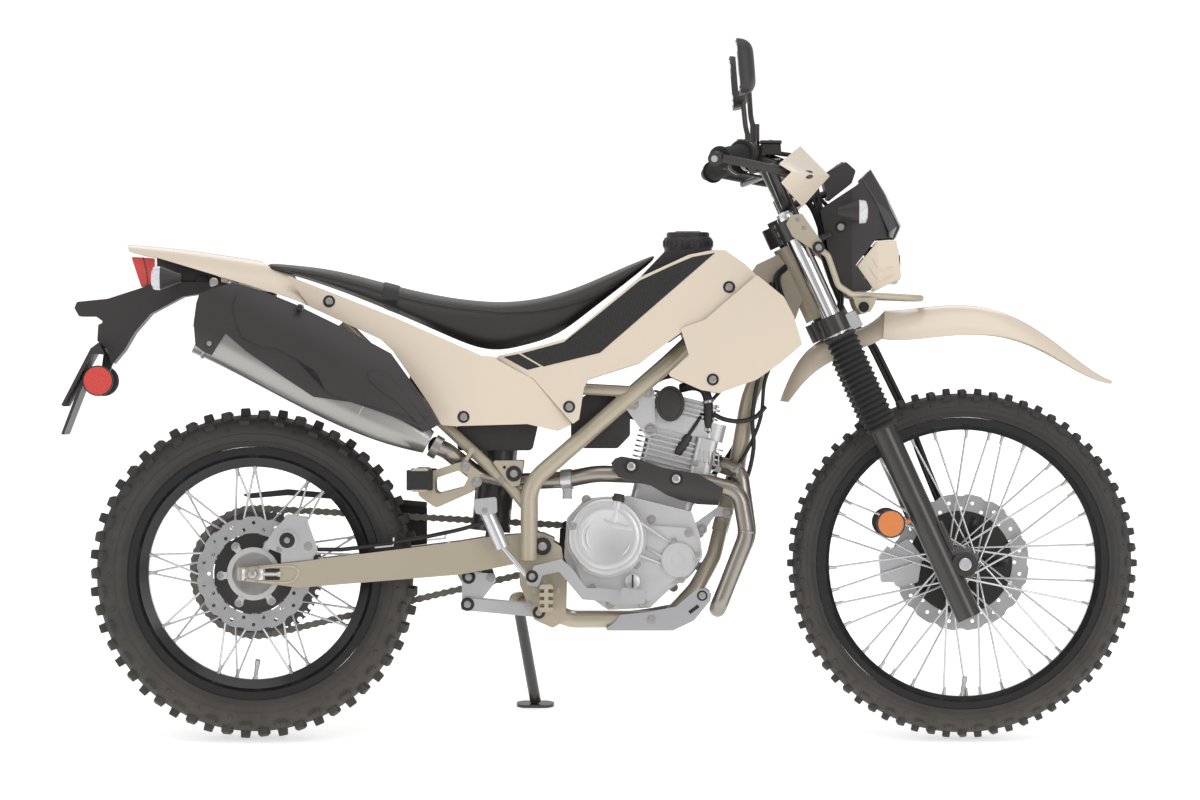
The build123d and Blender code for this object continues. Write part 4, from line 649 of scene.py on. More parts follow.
class MotorcycleSettings(bpy.types.PropertyGroup):
    """Sizes and colours that a user may change."""

    sand: bpy.props.FloatVectorProperty(
        name="Panel colour", description="Colour of the moulded body panels", subtype="COLOR",
        default=(0.70, 0.60, 0.485), min=0, max=1)
    floor_colour: bpy.props.FloatVectorProperty(
        name="Floor colour", description="Colour of the studio floor", subtype="COLOR",
        default=(0.86, 0.86, 0.86), min=0, max=1)
    front_pitches: bpy.props.IntProperty(
        name="Front lug pitches", description="Rows of lugs round the front tyre", default=34, min=16, max=48)
    rear_pitches: bpy.props.IntProperty(
        name="Rear lug pitches", description="Rows of lugs round the rear tyre", default=27, min=16, max=40)
    camera_distance: bpy.props.FloatProperty(
        name="Camera distance", description="Camera to the machine's centre plane", default=13.0, min=3,
        unit="LENGTH")
    lens: bpy.props.FloatProperty(
        name="Lens", description="Focal length of the camera", default=201.9, min=20, max=400, unit="CAMERA")


class MOTORCYCLE_OT_finishes(bpy.types.Operator):
    """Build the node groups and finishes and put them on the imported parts"""

    bl_idname = "motorcycle.finishes"
    bl_label = "Finishes"

    def execute(self, context):
        GROUPS.update(drift=build_drift_group(), grain=build_grain_group(), lines=build_brushed_group())
        for name, base, gloss, extra in FINISH_TABLE:
            colour = tuple(context.scene.motorcycle.sand) if name == "sand plastic" else base
            FINISHES[name] = make_finish(name, colour, gloss, **extra)
        for name, tint, gloss, ribs in LENS_TABLE:
            FINISHES[name] = make_lens(name, tint, gloss, ribs)
        for name, nodes in NODE_FINISH.items():
            for node in nodes.split():
                part = frame["nodes"][node]
                part.data.materials.clear()
                part.data.materials.append(FINISHES[name.strip()])
        return {"FINISHED"}


# ---- tyres
def add_carcass(mesh, axle, profile, count=120):
    """Revolve (across, radius) points about a wheel's axle."""
    rings = []
    for k in range(count):
        outward = around(2 * pi * k / count)[0]
        rings.append([mesh.verts.new(axle + outward * radius + LEFT * across) for across, radius in profile])
    for k in range(count):
        here, after = rings[k], rings[(k + 1) % count]
        for j in range(len(profile)):
            mesh.faces.new([here[j], here[(j + 1) % len(profile)], after[(j + 1) % len(profile)], after[j]])


def add_lug(mesh, axle, turn, radius, across, tilt, size, skew=0.0):
    """One tread block: where it stands, how it leans outward, and (length, width, height)."""
    radial, ahead = around(turn)
    lean = radians(tilt) * (1 if across > 0 else -1)
    up = radial * cos(lean) + LEFT * sin(lean)
    aside = LEFT * cos(lean) - radial * sin(lean)
    first = ahead * cos(skew) + aside * sin(skew)
    second = aside * cos(skew) - ahead * sin(skew)
    length, width, height = size
    base = axle + radial * radius + Vector((0, across, 0))
    add_block(
        mesh, base + up * (height / 2 - 1.5), (first, second, up), (length / 2, width / 2, height / 2 + 1.5),
        taper=0.86, bevel=1.1,
    )


# columns: share of a pitch, across, radius under the lug on the left and right, lean, size, skew
FRONT_LUGS = [
    (0.00, 7.2, 326.4, 326.4, 3, (15, 12.5, 11.2), 0.0),
    (0.50, 20.5, 322.3, 322.3, 24, (15, 13.5, 12.2), 0.35),
    (0.04, 31.0, 315.5, 315.2, 52, (17, 12.5, 9.5), 0.0),
]
REAR_LUGS = [
    (0.00, 10.5, 305.3, 305.3, 2, (19, 17, 13.2), 0.0),
    (0.50, 29.5, 299.8, 299.8, 20, (20, 16, 14.0), 0.3),
    (0.02, 43.0, 290.6, 290.6, 50, (22, 14, 11.0), 0.0),
]
SIDE_BAR = (7, 9, 2.6)
SIDE_BAR_TILT = 78
FRONT_PROFILE = [
    (24, 281.5), (27, 284), (28, 287), (31.5, 290), (35.5, 295), (38, 301), (38.6, 306), (37.6, 311),
    (34.5, 316), (29, 320), (22, 323.5), (12, 326.5), (0, 327.5),
]
REAR_PROFILE = [
    (32, 244), (36, 247), (38, 250), (42, 254), (46.5, 261), (49.3, 269), (50, 276), (49, 283),
    (46, 290), (40, 296), (31, 300.5), (18, 304.5), (0, 306),
]


def closed_profile(half):
    """A tyre's right half mirrored and closed under the bead."""
    return half + [(-y, r) for y, r in half[-2::-1]]


class MOTORCYCLE_OT_tyres(bpy.types.Operator):
    """Mould the two knobbly tyres with their lugs and sidewall ribs"""

    bl_idname = "motorcycle.tyres"
    bl_label = "Tyres"

    def execute(self, context):
        sizes = context.scene.motorcycle
        for name, axle, profile, lugs, pitches in (
            ("front", FRONT_AXLE, FRONT_PROFILE, FRONT_LUGS, sizes.front_pitches),
            ("rear", REAR_AXLE, REAR_PROFILE, REAR_LUGS, sizes.rear_pitches),
        ):
            mesh = bmesh.new()
            add_carcass(mesh, axle, closed_profile(profile))
            for index in range(pitches):
                for share, across, left_r, right_r, tilt, size, skew in lugs:
                    turn = 2 * pi * (index + share) / pitches
                    add_lug(mesh, axle, turn, left_r, across, tilt, size, skew)
                    add_lug(mesh, axle, turn, right_r, -across, tilt, size, -skew)
            # raised rings and short bars on the sidewalls
            belly = profile[6]
            for side in (1, -1):
                for across, radius in (profile[3], profile[5]):
                    ring = [axle + around(2 * pi * k / 96)[0] * radius + LEFT * (side * across) for k in range(96)]
                    add_tube(mesh, ring, 0.9, 6, closed=True)
                for index in range(pitches):
                    turn = 2 * pi * (index + 0.55) / pitches
                    add_lug(mesh, axle, turn, belly[1] + 3.5, side * (belly[0] - 1.2), SIDE_BAR_TILT, SIDE_BAR)
            tyre = make_piece(f"{name}_tread", mesh, f"{name}_wheel", "tyre rubber")
            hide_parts(f"{name}_tyre")
        return {"FINISHED"}


# ---- wheel fittings
# profiles here and below are (distance along, radius)
NIPPLE = [(0, 4.4), (3, 4.2), (5, 3.2), (15, 2.9), (16.5, 2.3), (16.5, 0)]
VALVE = [(0, 5.5), (2, 5.5), (4, 4), (26, 4), (27, 5), (38, 5), (39, 4), (39, 0)]
# columns: wheel, axle, rim's radius, spokes' sweep in degrees, nipple across, alternation of its place
NIPPLE_ROWS = [("front", FRONT_AXLE, 257.0, 62.0, 5.5, 2.5), ("rear", REAR_AXLE, 205.0, 50.0, 8.0, 3.0)]
CARRIER_BORE, CARRIER_RIM = 24, 76
CARRIER = [
    (-0.5, CARRIER_BORE), (3.4, CARRIER_BORE), (3.4, 44), (1.4, 50), (1.4, CARRIER_RIM - 6),
    (0.6, CARRIER_RIM), (-0.5, CARRIER_RIM), (-0.5, CARRIER_BORE),
]
FRONT_CARRIER_Y, REAR_CARRIER_Y = 46.0, -60.0
CARRIER_ARMS = 5
BOLT_TURN = 0.06
TONE_Y = -64.6
TONE_TEETH = 48


class MOTORCYCLE_OT_wheel_fittings(bpy.types.Operator):
    """Add spoke nipples, tyre valves, disc carriers with their bolts, and the rear sensor's toothed ring"""

    bl_idname = "motorcycle.wheel_fittings"
    bl_label = "Wheel fittings"

    def execute(self, context):
        for name, axle, rim_r, sweep, beside, stagger in NIPPLE_ROWS:
            mesh = bmesh.new()
            for side in (1, -1):
                for lay, first, turn in ((1, 0.0, sweep), (-1, 20.0, -sweep)):
                    for index in range(9):
                        angle = radians(first + 10 * (side > 0) + 40 * index + turn)
                        foot = axle + around(angle)[0] * rim_r + LEFT * (side * (beside + stagger * lay))
                        inward = axle - foot
                        inward.y = side * 14.0
                        add_turned(mesh, foot - inward.normalized(), inward, NIPPLE, 10)
            add_turned(mesh, axle - UP * rim_r, (0.15, -0.2, 1), VALVE, 12)
            make_piece(f"{name}_nipples", mesh, f"{name}_wheel", "bolt steel")
        self.add_carriers()
        # toothed ring of the wheel speed sensor
        mesh = bmesh.new()
        spot = REAR_AXLE + LEFT * TONE_Y
        for inner, outer in ((38.5, 41.5), (46.0, 51.0)):
            add_ring(mesh, spot, LEFT, inner, outer, 1.8, 60)
        # columns: how many, turn of the first, radius, half sizes, bevel
        for count, start, radius, half, bevel in (
            (TONE_TEETH, 0, 43.8, (3.2, 1.5, 0.8), 0.0), (6, BOLT_TURN, 56, (7, 6.5, 0.9), 0.4),
        ):
            for index in range(count):
                reach, aside = around(2 * pi * index / count + start)
                add_block(mesh, spot + reach * radius, (reach, aside, RIGHT), half, bevel=bevel)
        make_piece("rear_tone_ring", mesh, "rear_wheel", "ring white")
        return {"FINISHED"}

    def add_carriers(self):
        """Black carriers inside the drilled bands of the discs, with their bolts."""
        front_plate, rear_plate = bmesh.new(), bmesh.new()
        for turn in range(CARRIER_ARMS):
            reach, aside = around(2 * pi * turn / CARRIER_ARMS)
            for face in (FRONT_CARRIER_Y - 0.8, FRONT_CARRIER_Y + 4.8):
                spot = FRONT_AXLE + LEFT * face + reach * 58
                add_block(front_plate, spot, (reach, aside, RIGHT), (36, 9.5, 1.2), taper=0.97, bevel=0.5)
        for face in (FRONT_CARRIER_Y - 0.8, FRONT_CARRIER_Y + 4.8):
            add_ring(front_plate, FRONT_AXLE + LEFT * face, LEFT, 86, 100, 2.4, 72)
        add_turned(rear_plate, REAR_AXLE + LEFT * REAR_CARRIER_Y, RIGHT, CARRIER, 60)
        # columns: wheel, plate, axle, across, bolts' circle, how many, height of their seat, its ring
        for name, plate, axle, across, circle, bolts, seat, ringed in (
            ("front", front_plate, FRONT_AXLE, FRONT_CARRIER_Y, 31, CARRIER_ARMS, 2.0, False),
            ("rear", rear_plate, REAR_AXLE, REAR_CARRIER_Y, 62, 6, 1.2, True),
        ):
            heads = bmesh.new()
            for index in range(bolts):
                reach, _ = around(2 * pi * index / bolts + BOLT_TURN)
                spot = axle + reach * circle + LEFT * (across - seat)
                if ringed:
                    add_ring(heads, spot + RIGHT * 1.2, LEFT, 0.5, 9.0, 2.4, 20)
                add_button(heads, spot + RIGHT * 1.6, RIGHT, 5.5)
            make_piece(f"{name}_disc_carrier", plate, f"{name}_wheel", "carrier black")
            make_piece(f"{name}_disc_bolts", heads, f"{name}_wheel", "bolt steel")


# ---- chain
CHAIN_PITCH = 15.875
REAR_TEETH, DRIVE_TEETH = 49, 13
DRIVE_SHAFT = Vector((625.0, 0, 375.0))
CHAIN_Y = 68.0
PLATE_R, PLATE_WAIST = 7.2, 4.9
INNER_PLATE, OUTER_PLATE = (3.6, 5.6), (5.9, 7.9)
PIN = [(-8.6, 0), (-8.6, 2.4), (8.6, 2.4), (8.6, 0)]
ROLLER = [(-3.4, 5.0), (3.4, 5.0)]


def chain_pins():
    """Where each pin of the chain lies, round both sprockets."""
    big = CHAIN_PITCH / 2 / sin(pi / REAR_TEETH)
    small = CHAIN_PITCH / 2 / sin(pi / DRIVE_TEETH)
    gap = DRIVE_SHAFT - REAR_AXLE
    heading = atan2(gap.z, gap.x)
    spread = acos((big - small) / hypot(gap.x, gap.z))
    route = []
    for step in range(41):
        angle = heading + spread + (2 * pi - 2 * spread) * step / 40
        route.append(Vector((REAR_AXLE.x + big * cos(angle), CHAIN_Y, REAR_AXLE.z + big * sin(angle))))
    for step in range(21):
        angle = heading - spread + 2 * spread * step / 20
        route.append(Vector((DRIVE_SHAFT.x + small * cos(angle), CHAIN_Y, DRIVE_SHAFT.z + small * sin(angle))))
    route.append(route[0])
    lengths = [0.0]
    for a, b in zip(route, route[1:]):
        lengths.append(lengths[-1] + (b - a).length)
    links = round(lengths[-1] / CHAIN_PITCH / 2) * 2
    pins = []
    segment = 0
    for index in range(links):
        target = lengths[-1] * index / links
        while lengths[segment + 1] < target:
            segment += 1
        share = (target - lengths[segment]) / (lengths[segment + 1] - lengths[segment])
        pins.append(route[segment].lerp(route[segment + 1], share))
    return pins


def add_chain_plate(mesh, start, end, left, right):
    """A waisted link plate between two pins."""
    run = end - start
    run.y = 0
    along = run.normalized()
    over = Vector((-along.z, 0, along.x))
    outline = []
    for centre, turn in ((end, -pi / 2), (start, pi / 2)):
        for step in range(7):
            angle = turn + pi * step / 6
            outline.append(centre + along * (PLATE_R * cos(angle)) + over * (PLATE_R * sin(angle)))
        outline.append((start + end) / 2 + over * (PLATE_WAIST if turn < 0 else -PLATE_WAIST))
    add_prism(mesh, [(point.x, point.z) for point in outline], left, right)


class MOTORCYCLE_OT_chain(bpy.types.Operator):
    """Lay the drive chain link by link"""

    bl_idname = "motorcycle.chain"
    bl_label = "Chain"

    def execute(self, context):
        pins = chain_pins()
        mesh = bmesh.new()
        for index, pin in enumerate(pins):
            after = pins[(index + 1) % len(pins)]
            near, far = OUTER_PLATE if index % 2 else INNER_PLATE
            for side in (1, -1):
                add_chain_plate(mesh, pin, after, CHAIN_Y + side * near, CHAIN_Y + side * far)
            add_turned(mesh, pin, LEFT, PIN, 8)
            add_turned(mesh, pin, LEFT, ROLLER, 10)
        chain = make_piece("drive_chain", mesh, "chassis", "chain steel")
        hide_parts("chain")
        return {"FINISHED"}


# ---- seat
# columns: along the machine, top, bottom, half width, how round the top edge is
SEAT_STATIONS = [
    (22, 915, 903, 56, 8), (60, 911, 898, 70, 14), (130, 902, 876, 84, 22), (200, 887, 850, 90, 26),
    (270, 867, 821, 92, 28), (330, 853, 795, 92, 30), (385, 843, 770, 91, 30), (430, 838, 752, 90, 28),
    (475, 835, 746, 88, 26), (530, 839, 760, 85, 25), (585, 851, 776, 81, 24), (640, 871, 820, 74, 22),
    (700, 898, 866, 64, 16), (750, 921, 906, 52, 8), (772, 932, 926, 44, 4),
]


# columns: distance along, lift off the cushion
STRAP_SECTION = [(250, -1), (250, 1.6), (253, 2.4), (277, 2.4), (280, 1.6), (280, -1)]
STRAP_HEART = 835
# columns: distance along, drop below the top line
SEAM_DROPS = [(70, 9), (200, 13), (330, 14), (434, 13), (523, 17), (656, 27), (712, 24)]
SEAM_START, SEAM_END = 74, 712
# columns: how far under the seam's line, radius
SEAM_ROWS = [(0.0, 0.9), (3.2, 0.5)]


def read_curve(table, at):
    """A value read between the rows of a two-column table."""
    for (low, first), (high, second) in zip(table, table[1:]):
        if at <= high:
            return first + (second - first) * max(0.0, (at - low) / (high - low))
    return table[-1][1]


class MOTORCYCLE_OT_seat(bpy.types.Operator):
    """Upholster the long seat with its seams and strap"""

    bl_idname = "motorcycle.seat"
    bl_label = "Seat"

    def execute(self, context):
        mesh = bmesh.new()
        rings = []
        for x, top, bottom, half, edge in SEAT_STATIONS:
            height = top - bottom
            crown = min(7.0, height * 0.3)
            ring = [
                (half * 0.93, bottom), (half * 0.985, bottom + height * 0.35), (half, top - edge * 0.9),
                (half - edge * 0.35, top - edge * 0.3), (half - edge, top), (half * 0.45, top + crown * 0.7),
                (0, top + crown),
            ]
            ring = ring + [(-y, z) for y, z in ring[-2::-1]]
            rings.append([mesh.verts.new((x, y, z)) for y, z in ring])
        for low, high in zip(rings, rings[1:]):
            for k in range(len(low) - 1):
                mesh.faces.new([low[k], low[k + 1], high[k + 1], high[k]])
            mesh.faces.new([low[-1], low[0], high[0], high[-1]])
        mesh.faces.new(rings[0])
        mesh.faces.new(rings[-1][::-1])
        seat = make_piece("seat_cushion", mesh, "chassis", "seat vinyl", smooth=0)
        seat.data.shade_smooth()
        rounder = seat.modifiers.new("rounding", "SUBSURF")
        rounder.levels = rounder.render_levels = 2
        rounded = bpy.data.meshes.new_from_object(seat.evaluated_get(context.evaluated_depsgraph_get()))
        seat.modifiers.clear()
        seat.data = rounded
        keep_surface("cushion", rounded)
        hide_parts("seat")
        # strap over the middle
        strap = bmesh.new()
        rows = []
        for along, lift in STRAP_SECTION:
            row = []
            for step in range(33):
                angle = radians(-22 + 224 * step / 32)
                outward = Vector((0, cos(angle), sin(angle)))
                place, _ = found("cushion", Vector((along, 0, STRAP_HEART)) + outward * 300, -outward)
                row.append(strap.verts.new(place + outward * lift))
            rows.append(row)
        for low, high in zip(rows, rows[1:]):
            for a, b, c, d in zip(low, low[1:], high[1:], high):
                strap.faces.new([a, b, c, d])
        make_piece("seat_strap", strap, "chassis", "boot rubber")
        # sewn seams
        tops = [(x, top) for x, top, _, _, _ in SEAT_STATIONS]
        seams = bmesh.new()
        for side in (-1, 1):
            for shift, radius in SEAM_ROWS:
                run = []
                for step in range(61):
                    along = SEAM_START + (SEAM_END - SEAM_START) * step / 60
                    height = read_curve(tops, along) - read_curve(SEAM_DROPS, along) - shift
                    run.append(on_side("cushion", along, height, side)[0] + LEFT * (side * 0.2))
                add_tube(seams, run, radius, 6)
        make_piece("seat_seams", seams, "chassis", "boot rubber")
        return {"FINISHED"}


# ---- body panels
CHECKER_OUTLINES = [
    [(481, 735.6), (510, 741.2), (552, 716.8), (527, 710.6)],
    [(515, 742.0), (597, 764), (607, 768), (664, 818), (742, 881.5), (807, 911.5), (843, 926.5), (886, 934.5),
     (666, 743.2), (558, 717)],
]
# columns: part, along, up
PANEL_SCREWS = [
    ("side_covers", 147, 842), ("side_covers", 405, 620.6), ("shrouds", 607, 640),
    ("shrouds", 912.9, 868.9), ("shrouds", 881.1, 692),
]


CHECKER_STEP, CHECKER_HALF = 10.5, 4.6
CHECKER_RUN, CHECKER_RISE = 0.5, 0.86
CHECKER_MARGIN = 2.5
GROMMET = [(-2, 11.6), (1.0, 11.6), (1.9, 10.6), (1.9, 8.2), (0.5, 8.0), (0.5, 0)]
PANEL_SCREW = [(0, 7.4), (1.0, 7.4), (2.0, 6.2), (2.0, 3.4), (0.8, 3.0), (0.8, 0)]
CAP_CROWN = Vector((836, 0, 966))
FUEL_CAP = [(-20, 47.5), (-4, 47.5), (0, 45), (2, 41.5), (9.5, 41), (11, 38), (11.4, 30), (10.4, 28), (10.4, 0)]
CAP_RIBS = 24


class MOTORCYCLE_OT_panels(bpy.types.Operator):
    """Lay the grip panels on the shrouds and fit the panel screws and the fuel cap"""

    bl_idname = "motorcycle.panels"
    bl_label = "Panel fittings"

    def execute(self, context):
        sheet, bars = bmesh.new(), bmesh.new()
        for side in (-1, 1):
            for outline in CHECKER_OUTLINES:
                add_skin(sheet, outline, side, draped("shrouds", side, 0.7), 1.6)
                low_x, high_x = min(x for x, _ in outline), max(x for x, _ in outline)
                low_z, high_z = min(z for _, z in outline), max(z for _, z in outline)
                for column in range(int((high_x - low_x) / CHECKER_STEP) + 1):
                    for row in range(int((high_z - low_z) / CHECKER_STEP) + 1):
                        x, z = low_x + CHECKER_STEP * column, low_z + CHECKER_STEP * row
                        rise = CHECKER_RISE if (column + row) % 2 else -CHECKER_RISE
                        ends = [
                            (x + end * CHECKER_HALF * CHECKER_RUN + aside, z + end * CHECKER_HALF * rise)
                            for end in (-1, 1) for aside in (-CHECKER_MARGIN, CHECKER_MARGIN)
                        ]
                        if not all(inside(outline, a, b) for a, b in ends):
                            continue
                        place, normal = on_side("shrouds", x, z, side)
                        along = Vector((CHECKER_RUN, 0, rise))
                        along = (along - normal * along.dot(normal)).normalized()
                        axes = (along, normal.cross(along), normal)
                        add_block(bars, place + normal * 1.1, axes, (CHECKER_HALF, 1.1, 0.8), taper=0.55)
        make_piece("shroud_grip_panels", sheet, "chassis", "checker print")
        make_piece("shroud_grip_bars", bars, "chassis", "black plastic")
        rings, heads = bmesh.new(), bmesh.new()
        for name, along, up in PANEL_SCREWS:
            for side in (-1, 1):
                place, normal = on_side(name, along, up, side)
                add_turned(rings, place, normal, GROMMET, 28)
                add_turned(heads, place + normal * 0.5, normal, PANEL_SCREW, 20)
        make_piece("panel_grommets", rings, "chassis", "boot rubber")
        make_piece("panel_screws", heads, "chassis", "bolt steel")
        # fuel cap: a ribbed skirt under a hinged lid with its key cover
        cap = bmesh.new()
        add_turned(cap, CAP_CROWN, UP, FUEL_CAP, 48)
        for index in range(CAP_RIBS):
            angle = 2 * pi * index / CAP_RIBS
            reach, aside = Vector((cos(angle), sin(angle), 0)), Vector((-sin(angle), cos(angle), 0))
            add_block(cap, CAP_CROWN + reach * 47.2 - UP * 11, (aside, UP, reach), (2.4, 8, 1.6), taper=0.6)
        add_block(cap, CAP_CROWN + UP * 11.4, LEVEL, (26, 8, 1.6), taper=0.9, bevel=0.8)
        make_piece("fuel_cap", cap, "chassis", "black plastic")
        return {"FINISHED"}


# ---- exhaust
SILENCER_FRONT = Vector((338, -138, 572))
SILENCER_AXIS = Vector((-422, 0, 228)).normalized()
SILENCER_UP = Vector((SILENCER_AXIS.z, 0, -SILENCER_AXIS.x))
SILENCER_LENGTH = hypot(422, 228)
GUARD_OUTLINE = [
    (-103, 838), (-97, 856), (-72, 866), (-34, 877), (20, 862), (84, 836), (180, 789), (267, 742), (318, 672),
    (360, 607),
    (336, 593), (294, 613), (245, 631), (192, 649), (120, 659), (60, 699), (-9, 747), (-47, 780), (-74, 738),
    (-88, 744),
    (-105, 757), (-108, 800),
]
GUARD_BULGE = [
    (-33, 829), (-26, 853), (-8, 866), (60, 842), (160, 795), (258, 742), (310, 672), (340, 622), (300, 622),
    (232, 641),
    (188, 650.2), (144, 670.4), (125.6, 707.3), (88, 731), (51.8, 752), (22.3, 754), (-14.5, 772), (-26, 800),
]
GUARD_RIDGE = [(225, 711), (258, 704), (296, 662), (333, 612), (318, 610), (278, 652), (252, 668), (225, 693)]
HEADER_GUARD = [
    (687, 532), (695, 541), (707, 545), (743, 539), (788, 523), (853, 512), (878, 498), (902, 483), (897, 464),
    (892, 451),
    (853, 453), (820, 461), (795, 470), (762, 490), (730, 498), (700, 506),
]
HEADER_LINE = [(934, 478), (872, 494), (743, 509), (660, 512)]
GUARD_Y, GUARD_DRAW_MOST = -188, 40.0
# columns: outline, lift off the guard's skin, thickness
GUARD_LAYERS = [(GUARD_OUTLINE, -0.6, 5), (GUARD_BULGE, 2.6, 4), (GUARD_RIDGE, 4.8, 3)]
DISHED_WASHER = [(-3, 13), (1.0, 13), (2.2, 11.6), (1.0, 9), (0.4, 0)]
DISHED_BOLT = [(0, 8.4), (2.2, 8.2), (3.4, 6.6), (3.4, 3.4), (2.2, 3), (2.2, 0)]
HEADER_GUARD_BOLTS = [(726, -114, 526), (812, -113.6, 502)]
# columns: along, up, radius
SILENCER_BOLTS = [(-78, 761, 6), (-70, 877, 9), (94, 829, 8)]
# columns: share of the silencer's length, half width and half height, width of the band
SILENCER_BANDS = [(0.30, (37.3, 48.8), 9), (0.955, (43.8, 63.2), 7)]
# columns: centre, facing, inner radius, outer radius, width
PIPE_JOINTS = [
    ((352, -118.6, 563), (0.86, -0.02, -0.5), 16.5, 22.5, 16),
    ((947.5, -92, 400), (0.1, 0, 0.995), 15.5, 18.0, 5),
    ((934.6, -39.5, 514.6), (0.93, -0.36, -0.36), 15.5, 20, 7),
]


def guard_across(lift):
    """The silencer guard's skin, bowed about the silencer and drawn in at the front."""
    def depth_at(x, z):
        reach = Vector((x, 0, z)) - Vector((SILENCER_FRONT.x, 0, SILENCER_FRONT.z))
        along = reach.dot(SILENCER_AXIS)
        off = reach.dot(SILENCER_UP)
        drawn = 0.0062 * max(0.0, off - 42) ** 2 + 0.006 * max(0.0, -8 - off) ** 2
        drawn += 0.0011 * max(0.0, 150 - along) ** 2 + 0.0006 * max(0.0, along - 430) ** 2
        return GUARD_Y + min(drawn, GUARD_DRAW_MOST) - lift
    return depth_at


def header_across(lift):
    """The header guard's skin, rounded about the pipe."""
    def depth_at(x, z):
        off = min(
            abs((z - az) - (bz - az) / (bx - ax) * (x - ax))
            for (ax, az), (bx, bz) in zip(HEADER_LINE, HEADER_LINE[1:]) if bx - 12 <= x <= ax + 12
        )
        return -90.5 - sqrt(max(0.0, 23.5 ** 2 - (0.62 * off) ** 2)) - lift
    return depth_at


def add_section_band(mesh, share, size, width):
    """A clamp band around the silencer, at a share of its length."""
    centre = SILENCER_FRONT + SILENCER_AXIS * (SILENCER_LENGTH * share)
    half_w, half_h = size
    rows = []
    half = width / 2
    for along, grow in ((-half, -2), (-half, 1.2), (1.2 - half, 2.2), (half - 1.2, 2.2), (half, 1.2), (half, -2)):
        row = []
        for step in range(40):
            angle = 2 * pi * step / 40
            level = abs(sin(angle)) < 1e-6
            rise = 0 if level else (half_h - half_w) * (1 if sin(angle) > 0 else -1)
            radius = half_w + grow
            out = LEFT * (cos(angle) * radius) + SILENCER_UP * (sin(angle) * radius + rise)
            row.append(mesh.verts.new(centre + SILENCER_AXIS * along + out))
        rows.append(row)
    for low, high in zip(rows, rows[1:]):
        for k in range(40):
            mesh.faces.new([low[k], low[(k + 1) % 40], high[(k + 1) % 40], high[k]])


class MOTORCYCLE_OT_exhaust(bpy.types.Operator):
    """Mould the exhaust's heat guards and fit its clamps, joints and bolts"""

    bl_idname = "motorcycle.exhaust"
    bl_label = "Exhaust fittings"

    def execute(self, context):
        shells = bmesh.new()
        for outline, lift, thick in GUARD_LAYERS:
            add_skin(shells, outline, -1, guard_across(lift), thick)
        add_skin(shells, HEADER_GUARD, -1, header_across(0.0), 4)
        for x, z in ((703, 523), (793, 497)):
            add_turned(shells, (x, -106, z), RIGHT, [(-2, 6), (6.5, 6)], 12)
        guard = make_piece("exhaust_guard_shells", shells, "chassis", "black plastic", smooth=32)
        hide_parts("exhaust_guards")
        # bolts of the guards, on dished washers
        cups, heads = bmesh.new(), bmesh.new()
        for place in HEADER_GUARD_BOLTS:
            add_turned(cups, place, RIGHT, DISHED_WASHER, 24)
            add_turned(heads, Vector(place) + RIGHT * 0.6, RIGHT, DISHED_BOLT, 20)
        for x, z, radius in SILENCER_BOLTS:
            across = max(guard_across(0)(x, z), GUARD_Y + 1)
            add_turned(heads, (x, across, z), RIGHT, [
                (-6, radius * 0.7), (0, radius), (radius * 0.5, radius * 0.8), (radius * 0.6, 0)], 18)
            add_turned(cups, (x, -120, z), RIGHT, [(0, radius * 0.7), (62, radius * 0.7)], 14)
        make_piece("guard_washers", cups, "chassis", "boot rubber")
        # bands, joints and the clamp of the pipe
        bands = bmesh.new()
        for share, size, width in SILENCER_BANDS:
            add_section_band(bands, share, size, width)
        for centre, facing, inner, outer, width in PIPE_JOINTS:
            add_ring(bands, centre, facing, inner, outer, width)
        make_piece("exhaust_bands", bands, "chassis", "muffler steel")
        clamp = bmesh.new()
        add_ring(clamp, (603, -67.5, 500.6), (0.97, -0.22, 0.1), 16.3, 19.6, 22)
        add_block(clamp, Vector((603, -68, 474)), LEVEL, (9, 7, 11), bevel=2)
        add_bolt(clamp, (603, -75, 472), RIGHT, 6)
        make_piece("header_clamp", clamp, "chassis", "bare alloy")
        make_piece("guard_bolts", heads, "chassis", "bolt steel")
        return {"FINISHED"}


# ---- engine
CLUTCH = Vector((678.6, -124.0, 390.8))
FILTER = Vector((816.5, -110.0, 346.5))
# columns: along, up
COVER_EARS = [(614, 412), (640, 461), (765, 424), (652, 292), (686, 262), (750, 264), (737, 337), (836, 398)]
GENERATOR = Vector((792.0, 108.0, 362.0))
CLUTCH_RIM = [(-16, 77.5), (-9, 77.5), (-7, 75.8), (-7, 74)]
CLUTCH_MIDDLE = [(-1, 62), (0.2, 62), (1.8, 58), (1.8, 50), (0.6, 47), (0.6, 0)]
FILLER_NECK = [(0, 10.5), (40, 10.5), (46, 8.5), (49, 3), (49, 0)]
FILLER_CAP = [(-3, 12), (5, 12), (6, 10.5), (11, 10), (12, 0)]
FILTER_COVER = [
    (-12, 34.5), (-2, 34.2), (0, 32.4), (0, 27), (-1.6, 25.5), (-1.6, 15), (0.6, 13.6), (0.6, 10), (-0.6, 9),
    (-0.6, 0),
]
STARTER = [(-2, 4), (0, 19), (46, 19), (50, 12), (64, 12), (66, 0)]
# columns: profile, segments
GENERATOR_STEPS = [
    ([(-22, 71), (-12, 71), (-9, 68.6), (-9, 66)], 60),
    ([(-1, 46), (0.4, 46), (2.4, 42), (2.4, 24), (0.8, 22), (0.8, 0)], 48),
    ([(0, 15), (3, 14.4), (4, 12.6), (4, 0)], 28),
]
SPROCKET_COVER = [(586, 352), (588, 402), (612, 424), (664, 424), (690, 400), (694, 350), (668, 326), (612, 324)]
CYLINDER_FOOT = Vector((776, 0, 455))
HEAD_TILT = radians(14)
HEAD_HEIGHT = 206
